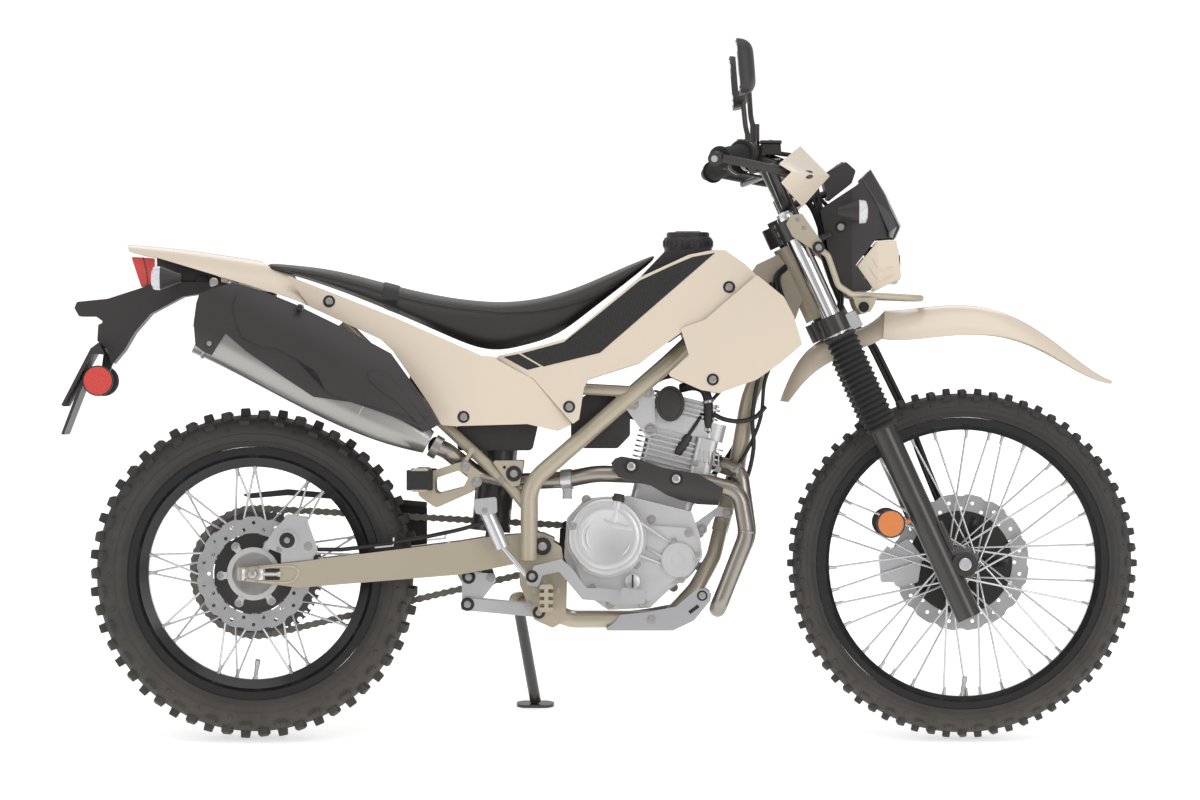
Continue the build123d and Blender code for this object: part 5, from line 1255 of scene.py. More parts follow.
# columns: radius, route
ENGINE_HOSES = [
    (9, [(874, -47, 588), (874, -52, 615), (874, -54, 650), (866, -50, 672), (846, -42, 680), (822, -30, 676)]),
    (4.5, [(884, -50, 626), (905, -50, 616), (935, -42, 612), (965, -30, 620), (985, -24, 640)]),
    (3.6, [(832, -54, 580), (850, -58, 606), (872, -40, 640), (900, -20, 672), (930, -12, 700)]),
    (
        4.2,
        [
            (1024, -20, 912), (1004, -34, 885), (1014, -36, 820), (996, -34, 760), (970, -30, 690), (960, -28, 620),
            (962, -28, 560), (948, -30, 500), (925, -40, 478),
        ],
    ),
    (
        3.6,
        [
            (1028, -18, 908), (1010, -30, 885), (1026, -32, 815), (1008, -28, 748), (984, -24, 690), (976, -22, 620),
            (952, -24, 560), (918, -30, 505), (902, -30, 470),
        ],
    ),
    (
        5.5,
        [
            (1024, 20, 912), (1002, 34, 885), (1012, 36, 820), (990, 34, 760), (962, 30, 690), (944, 28, 620),
            (925, 30, 560), (880, 60, 500), (840, 74, 448),
        ],
    ),
    (
        4.0,
        [
            (996, -40, 880), (1000, -42, 830), (960, -46, 790), (900, -56, 740), (850, -52, 710), (770, -40, 690),
            (740, -36, 660), (720, -30, 640),
        ],
    ),
    (3.6, [(994, 40, 880), (1000, 42, 820), (950, 52, 780), (880, 62, 730), (800, 58, 700), (760, 40, 680)]),
]


def add_ear(mesh, heads, x, z, side, node="engine_case", radius=8.5, bolt=5.2):
    """A bolt boss of a cover with its flanged bolt."""
    place, _ = on_side(node, x, z, side)
    outward = Vector((0, side, 0))
    add_turned(mesh, place, outward, [(-14, radius + 1.5), (2.5, radius), (3.5, radius - 1.2), (3.5, 0)], 18)
    add_bolt(heads, place + outward * 3.4, outward, bolt)


class MOTORCYCLE_OT_engine(bpy.types.Operator):
    """Detail the engine's covers, bolts, filter, plugs, caps and hoses"""

    bl_idname = "motorcycle.engine"
    bl_label = "Engine fittings"

    def execute(self, context):
        cast, heads, black = bmesh.new(), bmesh.new(), bmesh.new()
        self.add_right_side(cast, heads, black)
        self.add_left_side(cast, heads, black)
        self.add_top(cast, heads, black)
        make_piece("engine_castings", cast, "chassis", "engine silver")
        make_piece("engine_bolts", heads, "chassis", "bolt steel")
        make_piece("engine_caps", black, "chassis", "black plastic")
        hoses = bmesh.new()
        for radius, route in ENGINE_HOSES:
            add_tube(hoses, smooth_path(route), radius, 12)
        make_piece("engine_hoses", hoses, "chassis", "hose rubber")
        clips = bmesh.new()
        add_ring(clips, (874, -48, 596), UP, 9, 11, 7, 20)
        add_ring(clips, (874, -54, 650), (-0.2, 0, 1), 9, 11, 6, 20)
        make_piece("hose_clips", clips, "chassis", "bolt steel")
        return {"FINISHED"}

    def add_right_side(self, cast, heads, black):
        """The clutch and filter covers with their ears and ribs, the filler, the plug and the starter."""
        # clutch cover: a rim, a raised middle and two crescents
        add_turned(cast, CLUTCH, RIGHT, CLUTCH_RIM, 72)
        add_turned(cast, CLUTCH, RIGHT, CLUTCH_MIDDLE, 64)
        for first, last, reach in ((140, 224, 47), (146, 218, 38), (-52, -18, 46)):
            turns = [radians(first + (last - first) * k / 14) for k in range(15)]
            arc = [CLUTCH + around(angle)[0] * reach + RIGHT * 1.4 for angle in turns]
            add_tube(cast, arc, [0.8 + 1.9 * sin(pi * k / 14) for k in range(15)], 8)
        add_prism(cast, [(672, 425), (730, 408), (728, 402), (690, 408)], -123.5, -126.4, 1.0)
        # filler neck down the cover, and its cap
        add_turned(cast, (700, -116, 462), (-0.17, 0, -1), FILLER_NECK, 20)
        add_turned(black, (701, -116, 462), (0.17, 0, 1), FILLER_CAP, 20)
        # filter cover with three ears
        add_turned(cast, FILTER, RIGHT, FILTER_COVER, 48)
        for turn in (-82, 16, 103):
            ear = FILTER + around(radians(turn))[0] * 37 + LEFT * 6
            add_turned(cast, ear, RIGHT, [(-8, 9), (2, 8.4), (3, 7), (3, 0)], 18)
            add_bolt(heads, ear + RIGHT * 3, RIGHT, 5)
        for x, z in COVER_EARS:
            add_ear(cast, heads, x, z, -1)
        # ribs between the covers
        for a, b in (((752, 372), (786, 352)), ((742, 420), (800, 380)), ((741, 356), (784, 340))):
            start, end = (on_side("engine_case", x, z, -1)[0] for x, z in (a, b))
            add_tube(cast, [start, (start + end) / 2, end], 2.6, 8)
        # slotted plug
        add_turned(cast, (728.5, -110, 306), RIGHT, [(-2, 14.4), (1.6, 14.2), (2.6, 12.8), (2.6, 0)], 28)
        # the plug's slot is a thin dark block: painted shade, not a cut
        add_block(black, Vector((728.5, -112.5, 306)), (UP, AHEAD, RIGHT), (12.6, 1.7, 0.5))
        # starter behind the cylinder
        add_turned(black, (772, -60, 425), (1, 0, -0.25), STARTER, 24)

    def add_left_side(self, cast, heads, black):
        """The generator's cover with its ring, plugs and bolts, and the sprocket's cover."""
        for profile, count in GENERATOR_STEPS:
            add_turned(cast, GENERATOR, LEFT, profile, count)
        # the middle plug's slot is a thin dark block: painted shade, not a cut
        add_block(black, GENERATOR + LEFT * 4, (AHEAD, UP, LEFT), (11.5, 1.6, 0.4))
        for index in range(7):
            spot = GENERATOR + around(2 * pi * (index + 0.5) / 7)[0] * 74 + RIGHT * 42
            add_turned(cast, spot, LEFT, [(-14, 9), (14, 8.4), (15, 7), (15, 0)], 16)
            add_bolt(heads, spot + LEFT * 15, LEFT, 5)
        add_prism(black, SPROCKET_COVER, 82, 90, 2.5)
        for x, z in ((676, 338), (678, 410), (600, 411)):
            add_turned(black, (x, 54, z), LEFT, [(0, 7), (30, 7)], 12)
            add_bolt(heads, (x, 90, z), LEFT, 5)
        for index in range(3):
            up = 352 + 18 * index
            add_tube(black, [(600, 90.5, up), (640, 91.3, up), (674, 90.5, up)], 2.2, 8)

    def add_top(self, cast, heads, black):
        """The camshaft's cap, the spark plug's boot, the valve body, and the bolts of the cylinder and its head."""
        # black cap of the camshaft's end
        for grow, near, far in ((1.5, -56, -76), (-5, -76, -78.5)):
            turns = [2 * pi * k / 36 for k in range(36)]
            rim = [(801 + (26 + grow) * cos(turn), 646 + (33 + grow) * sin(turn)) for turn in turns]
            add_prism(black, rim, near, far, 1.6)
        # spark plug boot; its lead is one of the hoses
        add_turned(black, (838, -52, 585), (-0.55, -0.1, -0.83), [(0, 7), (10, 9), (26, 9.5), (40, 8), (44, 6)], 16)
        # valve body, with fins and bolts beneath it
        add_turned(cast, (873, -46, 574), (0.1, -0.1, 1), [(-6, 13), (4, 13), (6, 10), (16, 9.4)], 20)
        for k in range(5):
            x, z = 858 + 9 * k, 560 - 2.2 * k
            add_block(cast, Vector((x, -66, z - 14)), (UP, AHEAD, RIGHT), (15, 1.3, 2.6), taper=0.7)
        for x, z in ((850, 531), (893, 520)):
            add_bolt(heads, (x, -66, z), RIGHT, 4.4)
        # bolts of the cylinder's hangers and of the front mounts
        for x, z, radius in ((758, 669, 8), (730, 645.5, 8), (763, 597, 8)):
            for side in (-1, 1):
                add_bolt(heads, on_side("cylinder", x, z, side)[0], (0, side, 0), radius)
        for x, z in ((912, 436), (862, 404)):
            for side in (-1, 1):
                place, _ = found("engine_case", (x, side * 60, z), (0, -side, 0))
                add_bolt(heads, place, (0, side, 0), 7.5)
        # head cover bolts
        onward, upward = Vector((cos(HEAD_TILT), 0, -sin(HEAD_TILT))), Vector((sin(HEAD_TILT), 0, cos(HEAD_TILT)))
        for along in (-52, 66):
            for across in (34, -34):
                base = CYLINDER_FOOT + onward * along + upward * HEAD_HEIGHT + LEFT * across
                add_bolt(heads, base, upward, 6)


# ---- frame
# columns: part, along, up, ring radius, bolt radius, sides
FRAME_BOLTS = [
    ("frame", 556, 373, 17, 7.2, (-1, 1)), ("frame", 501, 512, 15, 6.4, (-1, 1)), ("frame", 479, 500, 0, 5, (-1, 1)),
    ("footpegs", 408, 527, 0, 7, (-1, 1)), ("footpegs", 430, 496, 0, 7, (-1, 1)), ("frame", 549, 246, 12, 5.5, (-1,)),
    ("frame", 530, 260, 0, 6, (-1, 1)), ("frame", 560, 300, 0, 6, (-1, 1)),
    ("linkage", 411, 260, 13, 6, (-1, 1)), ("linkage", 413, 312, 13, 6, (-1, 1)),
    ("linkage", 455, 311, 0, 6, (-1, 1)),
    ("rear_brake_control", 536, 316, 12, 5.5, (-1,)), ("rear_brake_control", 446, 442, 0, 4, (-1,)),
    ("skid_plate", 862, 278, 10, 6, (-1, 1)), ("skid_plate", 764, 232, 0, 6, (-1, 1)),
    ("rear_caliper", 66, 384, 15, 5, (-1,)), ("rear_caliper", 106, 372, 0, 6, (-1,)),
    ("rear_caliper", 50, 366, 0, 4, (-1,)),
    ("shift_lever", 646, 298, 0, 6, (1,)),
]
ARM_LOOP = [(-22, 328), (20, 331), (55, 334), (80, 333), (88, 320), (76, 306), (52, 303), (10, 306), (-22, 310)]


AXLE_HEIGHT = REAR_TYRE_R
AXLE_NUT = [(-9, 13), (0, 13), (1.5, 11.5), (1.5, 8.5), (4.5, 8.2), (5.2, 7), (5.2, 0)]
# a thin dark disc on the surface: painted shade in place of a hole
HOLE_SHADE_DISC = [(-1, 3.2), (0.4, 3.2), (0.4, 0)]
PEG_DISCS, PEG_PITCH = 15, 5.4
TEETH_ROWS, TEETH_PITCH = (541, 587), 14


class MOTORCYCLE_OT_frame_fittings(bpy.types.Operator):
    """Fit the frame's bolts, chain adjusters, hose clips and peg rubbers"""

    bl_idname = "motorcycle.frame_fittings"
    bl_label = "Frame fittings"

    def execute(self, context):
        rings, heads = bmesh.new(), bmesh.new()
        for name, along, up, ring, bolt, sides in FRAME_BOLTS:
            for side in sides:
                place, _ = on_side(name, along, up, side)
                outward = Vector((0, side, 0))
                if ring:
                    add_turned(rings, place, outward, [
                        (-2, ring), (1.6, ring), (2.4, ring - 1.2), (2.4, bolt + 1), (0.8, bolt + 0.6), (0.8, 0)], 28)
                add_bolt(heads, place + outward * (0.8 if ring else 0), outward, bolt)
        make_piece("frame_bolt_rings", rings, "chassis", "boot rubber")
        # rear axle nut and adjusters
        plates, loops, dark = bmesh.new(), bmesh.new(), bmesh.new()
        for side in (-1, 1):
            outward = Vector((0, side, 0))
            flank = on_side("swingarm", 30, AXLE_HEIGHT, side)[0].y
            groove = flank + side * 1.4
            centre = Vector((0, flank + side * 1.2, AXLE_HEIGHT))
            add_block(plates, centre, (AHEAD, UP, outward), (21, 11.5, 1.6), taper=0.97, bevel=0.6)
            add_turned(heads, (0, side * 108, AXLE_HEIGHT), outward, AXLE_NUT, 6)
            add_tube(plates, [(x, groove, AXLE_HEIGHT) for x in (20, 35, 52)], 3, 10)
            add_turned(heads, (48, groove, AXLE_HEIGHT), AHEAD, [(0, 5.4), (6, 5.4)], 6)
            # dark strips beside the adjuster's groove: painted shade of the slot in the arm end
            for up in (-7.6, 7.6):
                centre = Vector((38, flank + side * 0.1, AXLE_HEIGHT + up))
                add_block(dark, centre, (AHEAD, UP, outward), (14, 3.4, 0.5))
            run = smooth_path([(x, 0, z) for x, z in ARM_LOOP], 5)
            add_tube(loops, [on_side("swingarm", point.x, point.z, side)[0] for point in run], 2.4, 8)
        make_piece("chain_adjusters", plates, "chassis", "bare alloy")
        make_piece("arm_end_ribs", loops, "chassis", "champagne alloy")
        # hose clips on the arm
        clips = bmesh.new()
        axes = (Vector((1, 0, 0.1)).normalized(), LEFT, Vector((-0.1, 0, 1)).normalized())
        for x, z in ((352, 386), (252, 372)):
            add_block(clips, Vector((x, -90, z)), axes, (18, 5.5, 1.6), bevel=0.6)
            add_tube(clips, [(x + 16, -90, z), (x + 18, -90, z + 8), (x + 18, -90, z + 17)], 1.8, 8)
        make_piece("arm_hose_clips", clips, "chassis", "ring white")
        # rubbers of the passenger's pegs, and teeth of the rider's
        rubbers, teeth = bmesh.new(), bmesh.new()
        for side in (-1, 1):
            axes = (AHEAD, UP, LEFT * side)
            for step in range(PEG_DISCS):
                centre = Vector((322, side * (122 + PEG_PITCH * step), 500))
                add_block(rubbers, centre, axes, (24.2, 19.2, 1.9), taper=0.97, bevel=0.5)
                add_block(rubbers, centre + LEFT * (side * 2.7), axes, (22.8, 17.8, 1.0))
            for step in range(6):
                for along in TEETH_ROWS:
                    centre = Vector((along, side * (135 + TEETH_PITCH * step), 290))
                    add_block(teeth, centre, LEVEL, (2.6, 4.5, 4), taper=0.4)
        make_piece("peg_rubbers", rubbers, "chassis", "boot rubber")
        make_piece("peg_teeth", teeth, "chassis", "bolt steel")
        make_piece("frame_bolts", heads, "chassis", "bolt steel")
        # thin dark discs and a dark strip, painted shade, stand for a small hole in each plate of the frame and the
        # skid plate's slot
        for side in (-1, 1):
            add_turned(dark, on_side("frame", 483, 524, side)[0], (0, side, 0), HOLE_SHADE_DISC, 14)
            place = on_side("skid_plate", 846, 252, side)[0]
            add_block(dark, place, (Vector((0.8, 0, 0.6)), Vector((-0.6, 0, 0.8)), LEFT * side), (11, 3.4, 0.5))
        make_piece("painted_shade_recesses", dark, "chassis", "carrier black")
        return {"FINISHED"}


# ---- lamps, fork and cockpit
# columns: name, body, place on the left, facing
SIGNALS = [("front", "front_end", (1177, 132, 1013), 1), ("rear", "chassis", (-192, 112, 886), -1)]
SIGNAL_LENS = [(-1.4, 0), (-1.2, 9), (-0.6, 15.4), (2.6, 21.6), (7, 22.6), (15.6, 23.3), (16.2, 22)]
# columns: name, body, place on the left, profile
REFLECTOR_RIMS = [
    (
        "front", "front_end", (1223, 116, 416),
        [(-8, 20), (-8, 27.5), (1.2, 27.5), (2.4, 26.4), (2.4, 24.6), (1.4, 24.4)],
    ),
    ("rear", "chassis", (-298, 80.4, 690), [(-6, 29.5), (0.4, 29.5), (1.4, 28.4), (1.4, 26.4), (0.4, 26.2)]),
]
TAIL_WEB = [
    (-188, 929), (-167, 926), (-110, 906), (-63, 889), (-30, 878), (-60, 869), (-88, 862), (-134, 853), (-186, 866),
]
WEB_HALF = 34
TAIL_BOLT = [(-4, 6), (0, 9.5), (4, 9), (6, 6.5), (6, 0)]
# the screen's rows of points from its right edge to its middle, from the top down
SCREEN_ROWS = [
    [(1168, -86, 1078), (1186, -70, 1096), (1189, -30, 1098)],
    [(1196, -85, 1032), (1214, -68, 1048), (1219, -30, 1050)],
    [(1222, -77, 975), (1236, -64, 986), (1246, -34, 988)],
    [(1222, -76, 966), (1228, -66, 964), (1236, -44, 963)],
]
SCREEN_HEART_X, SCREEN_THICK = 1120, 2.4
COWL_RING = [(-1, 11.6), (1.2, 11.6), (2, 10.4), (2, 8), (0.6, 7.8), (0.6, 0)]
COWL_SCREW = [(0, 7), (1.6, 6.6), (1.6, 3.2), (0.6, 3), (0.6, 0)]
BAR_RING = [(-1, 11.5), (2, 11.5), (3, 10), (3, 0)]
# columns: along, up, radius, height of its ring
BAR_SCREWS = [(1044, 998, 4.4, 0), (1056, 982, 4.4, 0), (1084, 945, 9, 2)]
CHEVRONS = [[(1184, 908), (1196, 890), (1204, 884), (1226, 893)], [(1190, 924), (1206, 902), (1228, 909)]]
LAMP_X, LAMP_UP, BOWL_Y = 1243.2, 914, 21
BOWL = [(-0.6, 17.5), (0.8, 17), (-0.1, 12), (-0.5, 4), (0.9, 3), (0.9, 0)]


def sheet_rim(rows):
    """The points round the edge of a sheet made of rows, ending on the first again."""
    return rows[0] + [row[-1] for row in rows[1:]] + rows[-1][-2::-1] + [row[0] for row in rows[-2::-1]]


class MOTORCYCLE_OT_lamps(bpy.types.Operator):
    """Fit the lenses, the screen, the lamp's rims and their bolts"""

    bl_idname = "motorcycle.lamps"
    bl_label = "Lamps"

    def execute(self, context):
        for name, body, (x, across, z), facing in SIGNALS:
            lenses = bmesh.new()
            for side in (-1, 1):
                add_turned(lenses, (x, side * across, z), (-facing, 0, 0), SIGNAL_LENS, 30)
            make_piece(f"{name}_signal_lenses", lenses, body, "clear lens")
        for name, body, (x, across, z), profile in REFLECTOR_RIMS:
            rims = bmesh.new()
            for side in (-1, 1):
                add_turned(rims, (x, side * across, z), (0, side, 0), profile, 40)
            make_piece(f"{name}_reflector_rims", rims, body, "black plastic")
        # black web between the carrier and the fender
        web, bolts = bmesh.new(), bmesh.new()
        add_prism(web, TAIL_WEB, -WEB_HALF, WEB_HALF, 2.0)
        for side in (-1, 1):
            flank = side * WEB_HALF
            add_turned(web, (-100, flank, 880), (0, side, 0), [(0, 14), (3, 13), (4, 11), (4, 0)], 24)
            add_tube(
                web, [(-184, flank, 872), (-140, side * 34.6, 861), (-96, flank, 867), (-50, flank, 874)], 1.8, 8,
            )
            add_turned(bolts, on_side("frame", -40, 878, side)[0], (0, side, 0), TAIL_BOLT, 22)
        make_piece("tail_web", web, "chassis", "black plastic")
        make_piece("tail_bolts", bolts, "chassis", "bolt steel")
        # divisions of the tail lamp
        ribs = bmesh.new()
        for across in (-38.4, 38.4):
            add_tube(ribs, [(-214, across, 928), (-207, across, 900), (-205, across, 874)], 0.9, 6)
        for up in (884, 898, 912):
            spot = -217 - (up - 870) * 0.32
            add_tube(ribs, [(spot, across, up) for across in (-36, 0, 36)], 0.8, 6)
        make_piece("tail_lamp_ribs", ribs, "chassis", "carrier black")
        self.add_screen()
        # cowl screws and the raised chevrons beside the lamp
        rings, heads, lines = bmesh.new(), bmesh.new(), bmesh.new()
        for side in (-1, 1):
            outward = Vector((0, side, 0))
            place, normal = on_side("headlamp_cowl", 1128.6, 985, side)
            add_turned(rings, place, normal, COWL_RING, 26)
            add_turned(heads, place + normal * 0.6, normal, COWL_SCREW, 20)
            for x, z, radius, lift in BAR_SCREWS:
                place, _ = on_side("guard_bar", x, z, side)
                if lift:
                    add_turned(rings, place, outward, BAR_RING, 26)
                add_button(heads, place + outward * lift, outward, radius * 0.8)
            for points in CHEVRONS:
                add_line(lines, "headlamp_bezel", points, side, 1.9)
        make_piece("cowl_rings", rings, "front_end", "boot rubber")
        make_piece("cowl_screws", heads, "front_end", "bolt steel")
        make_piece("bezel_chevrons", lines, "front_end", "sand plastic")
        # headlamp: a dark mask and two pale bowls on the lens
        bowls, mask = bmesh.new(), bmesh.new()
        for across in (-BOWL_Y, BOWL_Y):
            add_turned(bowls, (LAMP_X, across, LAMP_UP), AHEAD, BOWL, 32)
            add_ring(mask, (LAMP_X + 0.2, across, LAMP_UP), AHEAD, 17.0, 19.5, 1.6, 36)
        add_block(mask, Vector((LAMP_X - 0.4, 0, 888)), (LEFT, UP, AHEAD), (32, 3, 0.9), bevel=0.4)
        make_piece("headlamp_bowls", bowls, "front_end", "ring white")
        make_piece("headlamp_mask", mask, "front_end", "carrier black")
        return {"FINISHED"}

    def add_screen(self):
        """The smoked screen over the top of the cowl, flanks and face."""
        screen = bmesh.new()
        outer = [
            [screen.verts.new(point) for point in row + [(x, -y, z) for x, y, z in row[::-1]]] for row in SCREEN_ROWS
        ]
        inner = []
        for row in outer:
            inward = [(Vector((SCREEN_HEART_X, 0, point.co.z)) - point.co).normalized() for point in row]
            inner.append([screen.verts.new(point.co + step * SCREEN_THICK) for point, step in zip(row, inward)])
        for sheet in (outer, inner):
            for low, high in zip(sheet, sheet[1:]):
                for k in range(5):
                    screen.faces.new([low[k], low[k + 1], high[k + 1], high[k]])
        edge = list(zip(sheet_rim(outer), sheet_rim(inner)))
        for (a, b), (c, d) in zip(edge, edge[1:]):
            screen.faces.new([a, c, d, b])
        make_piece("cowl_screen", screen, "front_end", "smoke screen", smooth=24)


CLAMP_BOLTS = (1062, 1080, 868, 886)
# columns: height up the fork, radius
BOOT_BANDS = [(650, 29.5), (845, 33.2)]
CAP_RIM = [(-2, 17.5), (3, 17.5), (4, 16), (4, 12)]
CAP_HEX = [(3, 11.5), (9, 11.5), (10, 10), (10, 0)]
AXLE_HEAD = [(-3, 12), (1, 12), (2.6, 10.4), (2.6, 5), (1, 4.6), (1, 0)]
BAR_TAB = [(1150, 850), (1196, 848), (1192, 836), (1184, 822), (1166, 818), (1156, 832)]
TAB_Y, TAB_T = 110, 4
TAB_RING = [(-1, 10.5), (1.6, 10.5), (2.4, 9.5), (2.4, 0)]


class MOTORCYCLE_OT_fork(bpy.types.Operator):
    """Fit the fork's caps, pinch bolts, axle head and bar tabs"""

    bl_idname = "motorcycle.fork"
    bl_label = "Fork fittings"

    def execute(self, context):
        upward = fork_point(0, 0, 1) - fork_point(0, 0, 0)
        forward = fork_point(1, 0, 0) - fork_point(0, 0, 0)
        backward = fork_point(-1, 0, 0) - fork_point(0, 0, 0)
        caps, heads, tabs, bands = bmesh.new(), bmesh.new(), bmesh.new(), bmesh.new()
        for side in (-1, 1):
            outward = (0, side, 0)
            leg = side * FORK_HALF
            top = fork_point(FORK_OFFSET, leg, 1096)
            add_turned(caps, top, upward, CAP_RIM, 24)
            add_turned(caps, top, upward, CAP_HEX, 6)
            for height in CLAMP_BOLTS:
                place, _ = found("fork_clamps", fork_point(-160, side * 90, height), -backward)
                add_button(heads, place, backward, 4.6, 5)
            add_turned(caps, FRONT_AXLE + LEFT * (side * 125), outward, AXLE_HEAD, 24)
            for height, radius in BOOT_BANDS:
                add_ring(bands, fork_point(FORK_OFFSET, leg, height), upward, 26, radius, 5, 32)
            # tab under the guard bar, with its bolt
            add_prism(tabs, BAR_TAB, side * TAB_Y, side * (TAB_Y + TAB_T), 1.0)
            add_turned(tabs, (1171, side * (TAB_Y + TAB_T), 831), outward, TAB_RING, 24)
            add_ring(heads, (1171, side * 116.6, 831), outward, 8.2, 10.2, 1.4, 28)
            add_button(heads, (1171, side * 116, 831), outward, 6.5)
            add_ring(caps, fork_point(FORK_OFFSET, leg, 850.5), upward, 26, 33.6, 1.8, 36)
        axes = (forward, LEFT, upward)
        add_block(caps, fork_point(52, -104, 862), axes, (15, 8, 17), taper=0.95, bevel=2.5)
        make_piece("fork_caps", caps, "front_end", "bare alloy")
        make_piece("fork_bolts", heads, "front_end", "black bolt")
        make_piece("guard_bar_tabs", tabs, "front_end", "sand frame paint")
        make_piece("boot_bands", bands, "front_end", "black plastic")
        return {"FINISHED"}


GRIP_IN, GRIP_OUT = Vector((943, 262, 1122)), Vector((888, 408, 1106))
GRIP_RIBS, RIB_PITCH = 20, 5.6
# columns: lift, reach of a switch's button
SWITCHES = [(20, -8), (8, -22), (-8, -22)]
LEVER_PIVOT = [(-1, 8), (2, 8), (3, 6.5), (3, 0)]
RESERVOIR_X, RESERVOIR_Y = 990, -214
MIRROR_CENTRE = Vector((924.2, 330, 1280))
MIRROR_HALF = (68, 45)
MIRROR_SQUARE = 0.45
METER_CENTRE = Vector((1116, 0, 1096))
METER_UP, METER_FACE = Vector((0.809, 0, 0.588)), Vector((-0.588, 0, 0.809))
# columns: radius, route
BAR_CABLES = [
    (
        4.5,
        [
            (1004, -214, 1122), (1046, -190, 1112), (1078, -130, 1070), (1086, -60, 1010), (1098, 10, 930),
            (1126, 66, 856), (1151.9, 91, 806),
        ],
    ),
    (
        3.4,
        [
            (992, 208, 1104), (1046, 170, 1098), (1082, 96, 1060), (1098, 50, 1000), (1112, 42, 930), (1134, 38, 860),
            (1128, 30, 806),
        ],
    ),
    (
        3.2,
        [
            (948, -262, 1100), (1010, -214, 1092), (1066, -140, 1068), (1094, -70, 1015), (1110, -46, 940),
            (1132, -40, 862), (1128, -30, 806),
        ],
    ),
    (
        3.2,
        [
            (944, -262, 1098), (1002, -206, 1084), (1060, -134, 1060), (1088, -62, 1005), (1104, -36, 940),
            (1126, -30, 862), (1122, -22, 806),
        ],
    ),
    (3.0, [(946, 264, 1100), (1006, 214, 1086), (1066, 130, 1066), (1096, 70, 1040), (1120, 40, 1010)]),
    (3.0, [(954, -250, 1102), (1016, -196, 1080), (1072, -120, 1052), (1100, -66, 1030), (1122, -40, 1004)]),
    (6.0, [(1036, -30, 1050), (1070, -34, 1030), (1090, -40, 985), (1100, -44, 940), (1118, -40, 905)]),
]


def to_side(point, side):
    """A point of the left side, or its mirror on the right."""
    return Vector((point.x, side * point.y, point.z))


class MOTORCYCLE_OT_cockpit(bpy.types.Operator):
    """Fit the grips, switches, reservoir, mirrors' glass, meter and cables"""

    bl_idname = "motorcycle.cockpit"
    bl_label = "Cockpit"

    def execute(self, context):
        run = (GRIP_OUT - GRIP_IN).normalized()
        grips, switches, heads, red = bmesh.new(), bmesh.new(), bmesh.new(), bmesh.new()
        # rings about the grip: mesh, place, inner radius, outer radius, width, segments
        middle = GRIP_IN + run * 12
        rings = [(grips, GRIP_IN + run * (34 + RIB_PITCH * step), 16, 18.0, 3.2, 24) for step in range(GRIP_RIBS)]
        rings += [
            (grips, GRIP_IN + run * 28, 16, 25, 4, 28), (grips, GRIP_OUT - run * 8, 15, 22, 4, 28),
            (switches, middle - run * 8, 23.5, 25.2, 3, 28), (switches, middle + run * 8, 23.5, 25.2, 3, 28),
        ]
        for side in (-1, 1):
            along = to_side(run, side)
            for mesh, place, inner, outer, width, count in rings:
                add_ring(mesh, to_side(place, side), along, inner, outer, width, count)
            for lift, reach in SWITCHES:
                spot = to_side(middle + Vector((reach, 0, lift)) + run * 2, side)
                on_top = lift == max(SWITCHES)[0]
                axes = (along, AHEAD, UP) if on_top else (along, UP, -AHEAD)
                add_block(red if on_top and side < 0 else switches, spot, axes, (7, 5, 6), taper=0.8, bevel=1.2)
            add_button(heads, to_side(GRIP_OUT + run * 21.0, side), along, 7.5)
            add_turned(heads, (1000, side * 232, 1109), UP, LEVER_PIVOT, 18)
        # brake reservoir with its lid
        add_block(switches, Vector((RESERVOIR_X, RESERVOIR_Y, 1130)), LEVEL, (20, 27, 11), taper=0.94, bevel=3)
        add_block(switches, Vector((RESERVOIR_X, RESERVOIR_Y, 1143)), LEVEL, (21, 28, 2.6), taper=0.96, bevel=1)
        for across in (20, -20):
            add_button(heads, (RESERVOIR_X, RESERVOIR_Y + across, 1145), UP, 3.2)
        make_piece("grip_ribs", grips, "front_end", "grip rubber")
        make_piece("switch_housings", switches, "front_end", "black plastic")
        make_piece("stop_switch", red, "front_end", "red switch")
        make_piece("bar_bolts", heads, "front_end", "bolt steel")
        self.add_mirror_glass()
        # meter: a dark window and its pale display
        dial, shown = bmesh.new(), bmesh.new()
        axes = (LEFT, METER_UP, METER_FACE)
        add_block(dial, METER_CENTRE + METER_FACE * 1.5, axes, (54, 23, 2.2), taper=0.97, bevel=1.2)
        add_block(shown, METER_CENTRE + METER_FACE * 4.2, axes, (33, 14, 0.5), taper=0.98)
        make_piece("meter_window", dial, "front_end", "meter face")
        make_piece("meter_display", shown, "front_end", "screen grey")
        cables = bmesh.new()
        for radius, route in BAR_CABLES:
            add_tube(cables, smooth_path(route), radius, 10)
        make_piece("bar_cables", cables, "front_end", "hose rubber")
        return {"FINISHED"}

    def add_mirror_glass(self):
        """A plate with rounded corners in each mirror's housing."""
        glass = bmesh.new()
        up = Vector((-0.08, 0, 1)).normalized()
        for side in (-1, 1):
            rim = []
            for k in range(40):
                angle = 2 * pi * k / 40
                wide, tall = (abs(v) ** MIRROR_SQUARE * (1 if v > 0 else -1) for v in (cos(angle), sin(angle)))
                place = to_side(MIRROR_CENTRE, side) + LEFT * (MIRROR_HALF[0] * wide)
                rim.append(place + up * (MIRROR_HALF[1] * tall))
            shown = [glass.verts.new(point) for point in rim]
            hidden = [glass.verts.new(point + Vector((4.0, 0, 0.32))) for point in rim]
            glass.faces.new(shown)
            glass.faces.new(hidden[::-1])
            for k in range(40):
                glass.faces.new([shown[k], hidden[k], hidden[(k + 1) % 40], shown[(k + 1) % 40]])
        make_piece("mirror_glass", glass, "front_end", "mirror face", smooth=5)


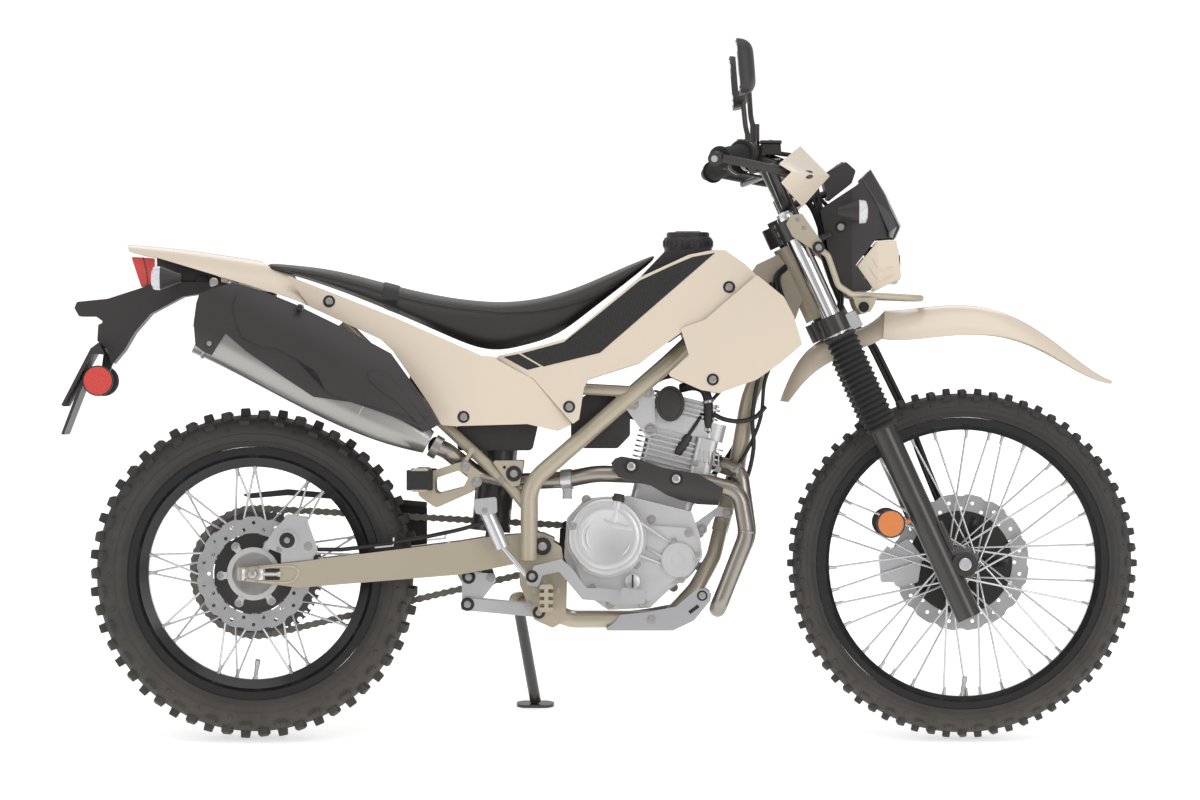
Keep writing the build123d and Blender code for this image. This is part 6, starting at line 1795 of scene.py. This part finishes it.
# ---- stage
# columns: name, place, size, power
LIGHTS = [
    ("roof_light", (0.3, -0.6, 4.2), (5.0, 3.5), 62.0),
    ("front_light", (3.5, -4.5, 2.4), (2.5, 2.5), 62.0),
    ("rear_light", (-4.0, -3.5, 2.2), (2.0, 2.5), 26.0),
    ("far_light", (0.0, 4.5, 3.0), (4.0, 2.0), 34.0),
]
LIGHT_AIM = Vector((0, 0, 0.6))
CAMERA_AIM = Vector((666.0, 0.0, 653.0))
FLOOR_HALF, FLOOR_GLOW = 30.0, 0.57
SKY_LIGHT, SKY_SEEN = 0.55, 1.0


class MOTORCYCLE_OT_stage(bpy.types.Operator):
    """Set the floor, the soft lights and the camera"""

    bl_idname = "motorcycle.stage"
    bl_label = "Stage"

    def execute(self, context):
        settings = context.scene.motorcycle
        scene = context.scene
        scene.view_settings.view_transform = "Standard"
        mesh = bmesh.new()
        bmesh.ops.create_grid(mesh, x_segments=1, y_segments=1, size=FLOOR_HALF)
        data = bpy.data.meshes.new("studio_floor")
        mesh.to_mesh(data)
        mesh.free()
        floor = bpy.data.objects.new("studio_floor", data)
        scene.collection.objects.link(floor)
        paint = bpy.data.materials.new("studio floor")
        paint.use_nodes = True
        shader = paint.node_tree.nodes["Principled BSDF"]
        shader.inputs["Base Color"].default_value = (*settings.floor_colour, 1)
        shader.inputs["Roughness"].default_value = 0.9
        shader.inputs["Emission Color"].default_value = (1, 1, 1, 1)
        shader.inputs["Emission Strength"].default_value = FLOOR_GLOW
        data.materials.append(paint)
        world = bpy.data.worlds.new("studio")
        world.use_nodes = True
        tree = world.node_tree
        tree.nodes["Background"].inputs["Color"].default_value = (1, 1, 1, 1)
        seen = tree.nodes.new("ShaderNodeLightPath").outputs["Is Camera Ray"]
        strength = math_node(tree, "ADD", math_node(tree, "MULTIPLY", seen, SKY_SEEN), SKY_LIGHT)
        tree.links.new(strength, tree.nodes["Background"].inputs["Strength"])
        scene.world = world
        for name, place, size, power in LIGHTS:
            lamp = bpy.data.lights.new(name, "AREA")
            lamp.shape = "RECTANGLE"
            lamp.size, lamp.size_y = size
            lamp.energy = power
            light = bpy.data.objects.new(name, lamp)
            scene.collection.objects.link(light)
            light.location = place
            light.rotation_mode = "QUATERNION"
            light.rotation_quaternion = (LIGHT_AIM - Vector(place)).to_track_quat("-Z", "Y")
        # the camera looks square to the leaned machine's centre plane
        camera = bpy.data.cameras.new("camera")
        camera.lens = settings.lens
        camera.clip_end = 60.0
        view = bpy.data.objects.new("camera", camera)
        scene.collection.objects.link(view)
        middle = PARKED @ CAMERA_AIM
        turn = PARKED.to_3x3().normalized()
        view.matrix_world = Matrix.Translation(middle + turn @ Vector((0, -settings.camera_distance, 0))) @ (
            turn @ Matrix.Rotation(radians(90), 3, "X")
        ).to_4x4()
        scene.camera = view
        return {"FINISHED"}


STEPS = [
    MOTORCYCLE_OT_finishes, MOTORCYCLE_OT_tyres, MOTORCYCLE_OT_wheel_fittings, MOTORCYCLE_OT_chain,
    MOTORCYCLE_OT_seat, MOTORCYCLE_OT_panels, MOTORCYCLE_OT_exhaust, MOTORCYCLE_OT_engine,
    MOTORCYCLE_OT_frame_fittings, MOTORCYCLE_OT_lamps, MOTORCYCLE_OT_fork, MOTORCYCLE_OT_cockpit, MOTORCYCLE_OT_stage,
]


class VIEW3D_PT_motorcycle(bpy.types.Panel):
    """The motorcycle's sizes, colours and building steps"""

    bl_idname = "VIEW3D_PT_motorcycle"
    bl_label = "Motorcycle"
    bl_space_type = "VIEW_3D"
    bl_region_type = "UI"
    bl_category = "Motorcycle"

    def draw(self, context):
        settings = context.scene.motorcycle
        for name in settings.bl_rna.properties.keys():
            if name not in ("rna_type", "name"):
                self.layout.prop(settings, name)
        for step in STEPS:
            self.layout.operator(step.bl_idname)


CLASSES = [MotorcycleSettings, *STEPS, VIEW3D_PT_motorcycle]


def register():
    for item in CLASSES:
        bpy.utils.register_class(item)
    bpy.types.Scene.motorcycle = bpy.props.PointerProperty(type=MotorcycleSettings)


def unregister():
    del bpy.types.Scene.motorcycle
    for item in reversed(CLASSES):
        bpy.utils.unregister_class(item)


def main():
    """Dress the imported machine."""
    register()
    for step in STEPS:
        group, action = step.bl_idname.split(".")
        getattr(getattr(bpy.ops, group), action)()


if __name__ == "__main__":
    main()
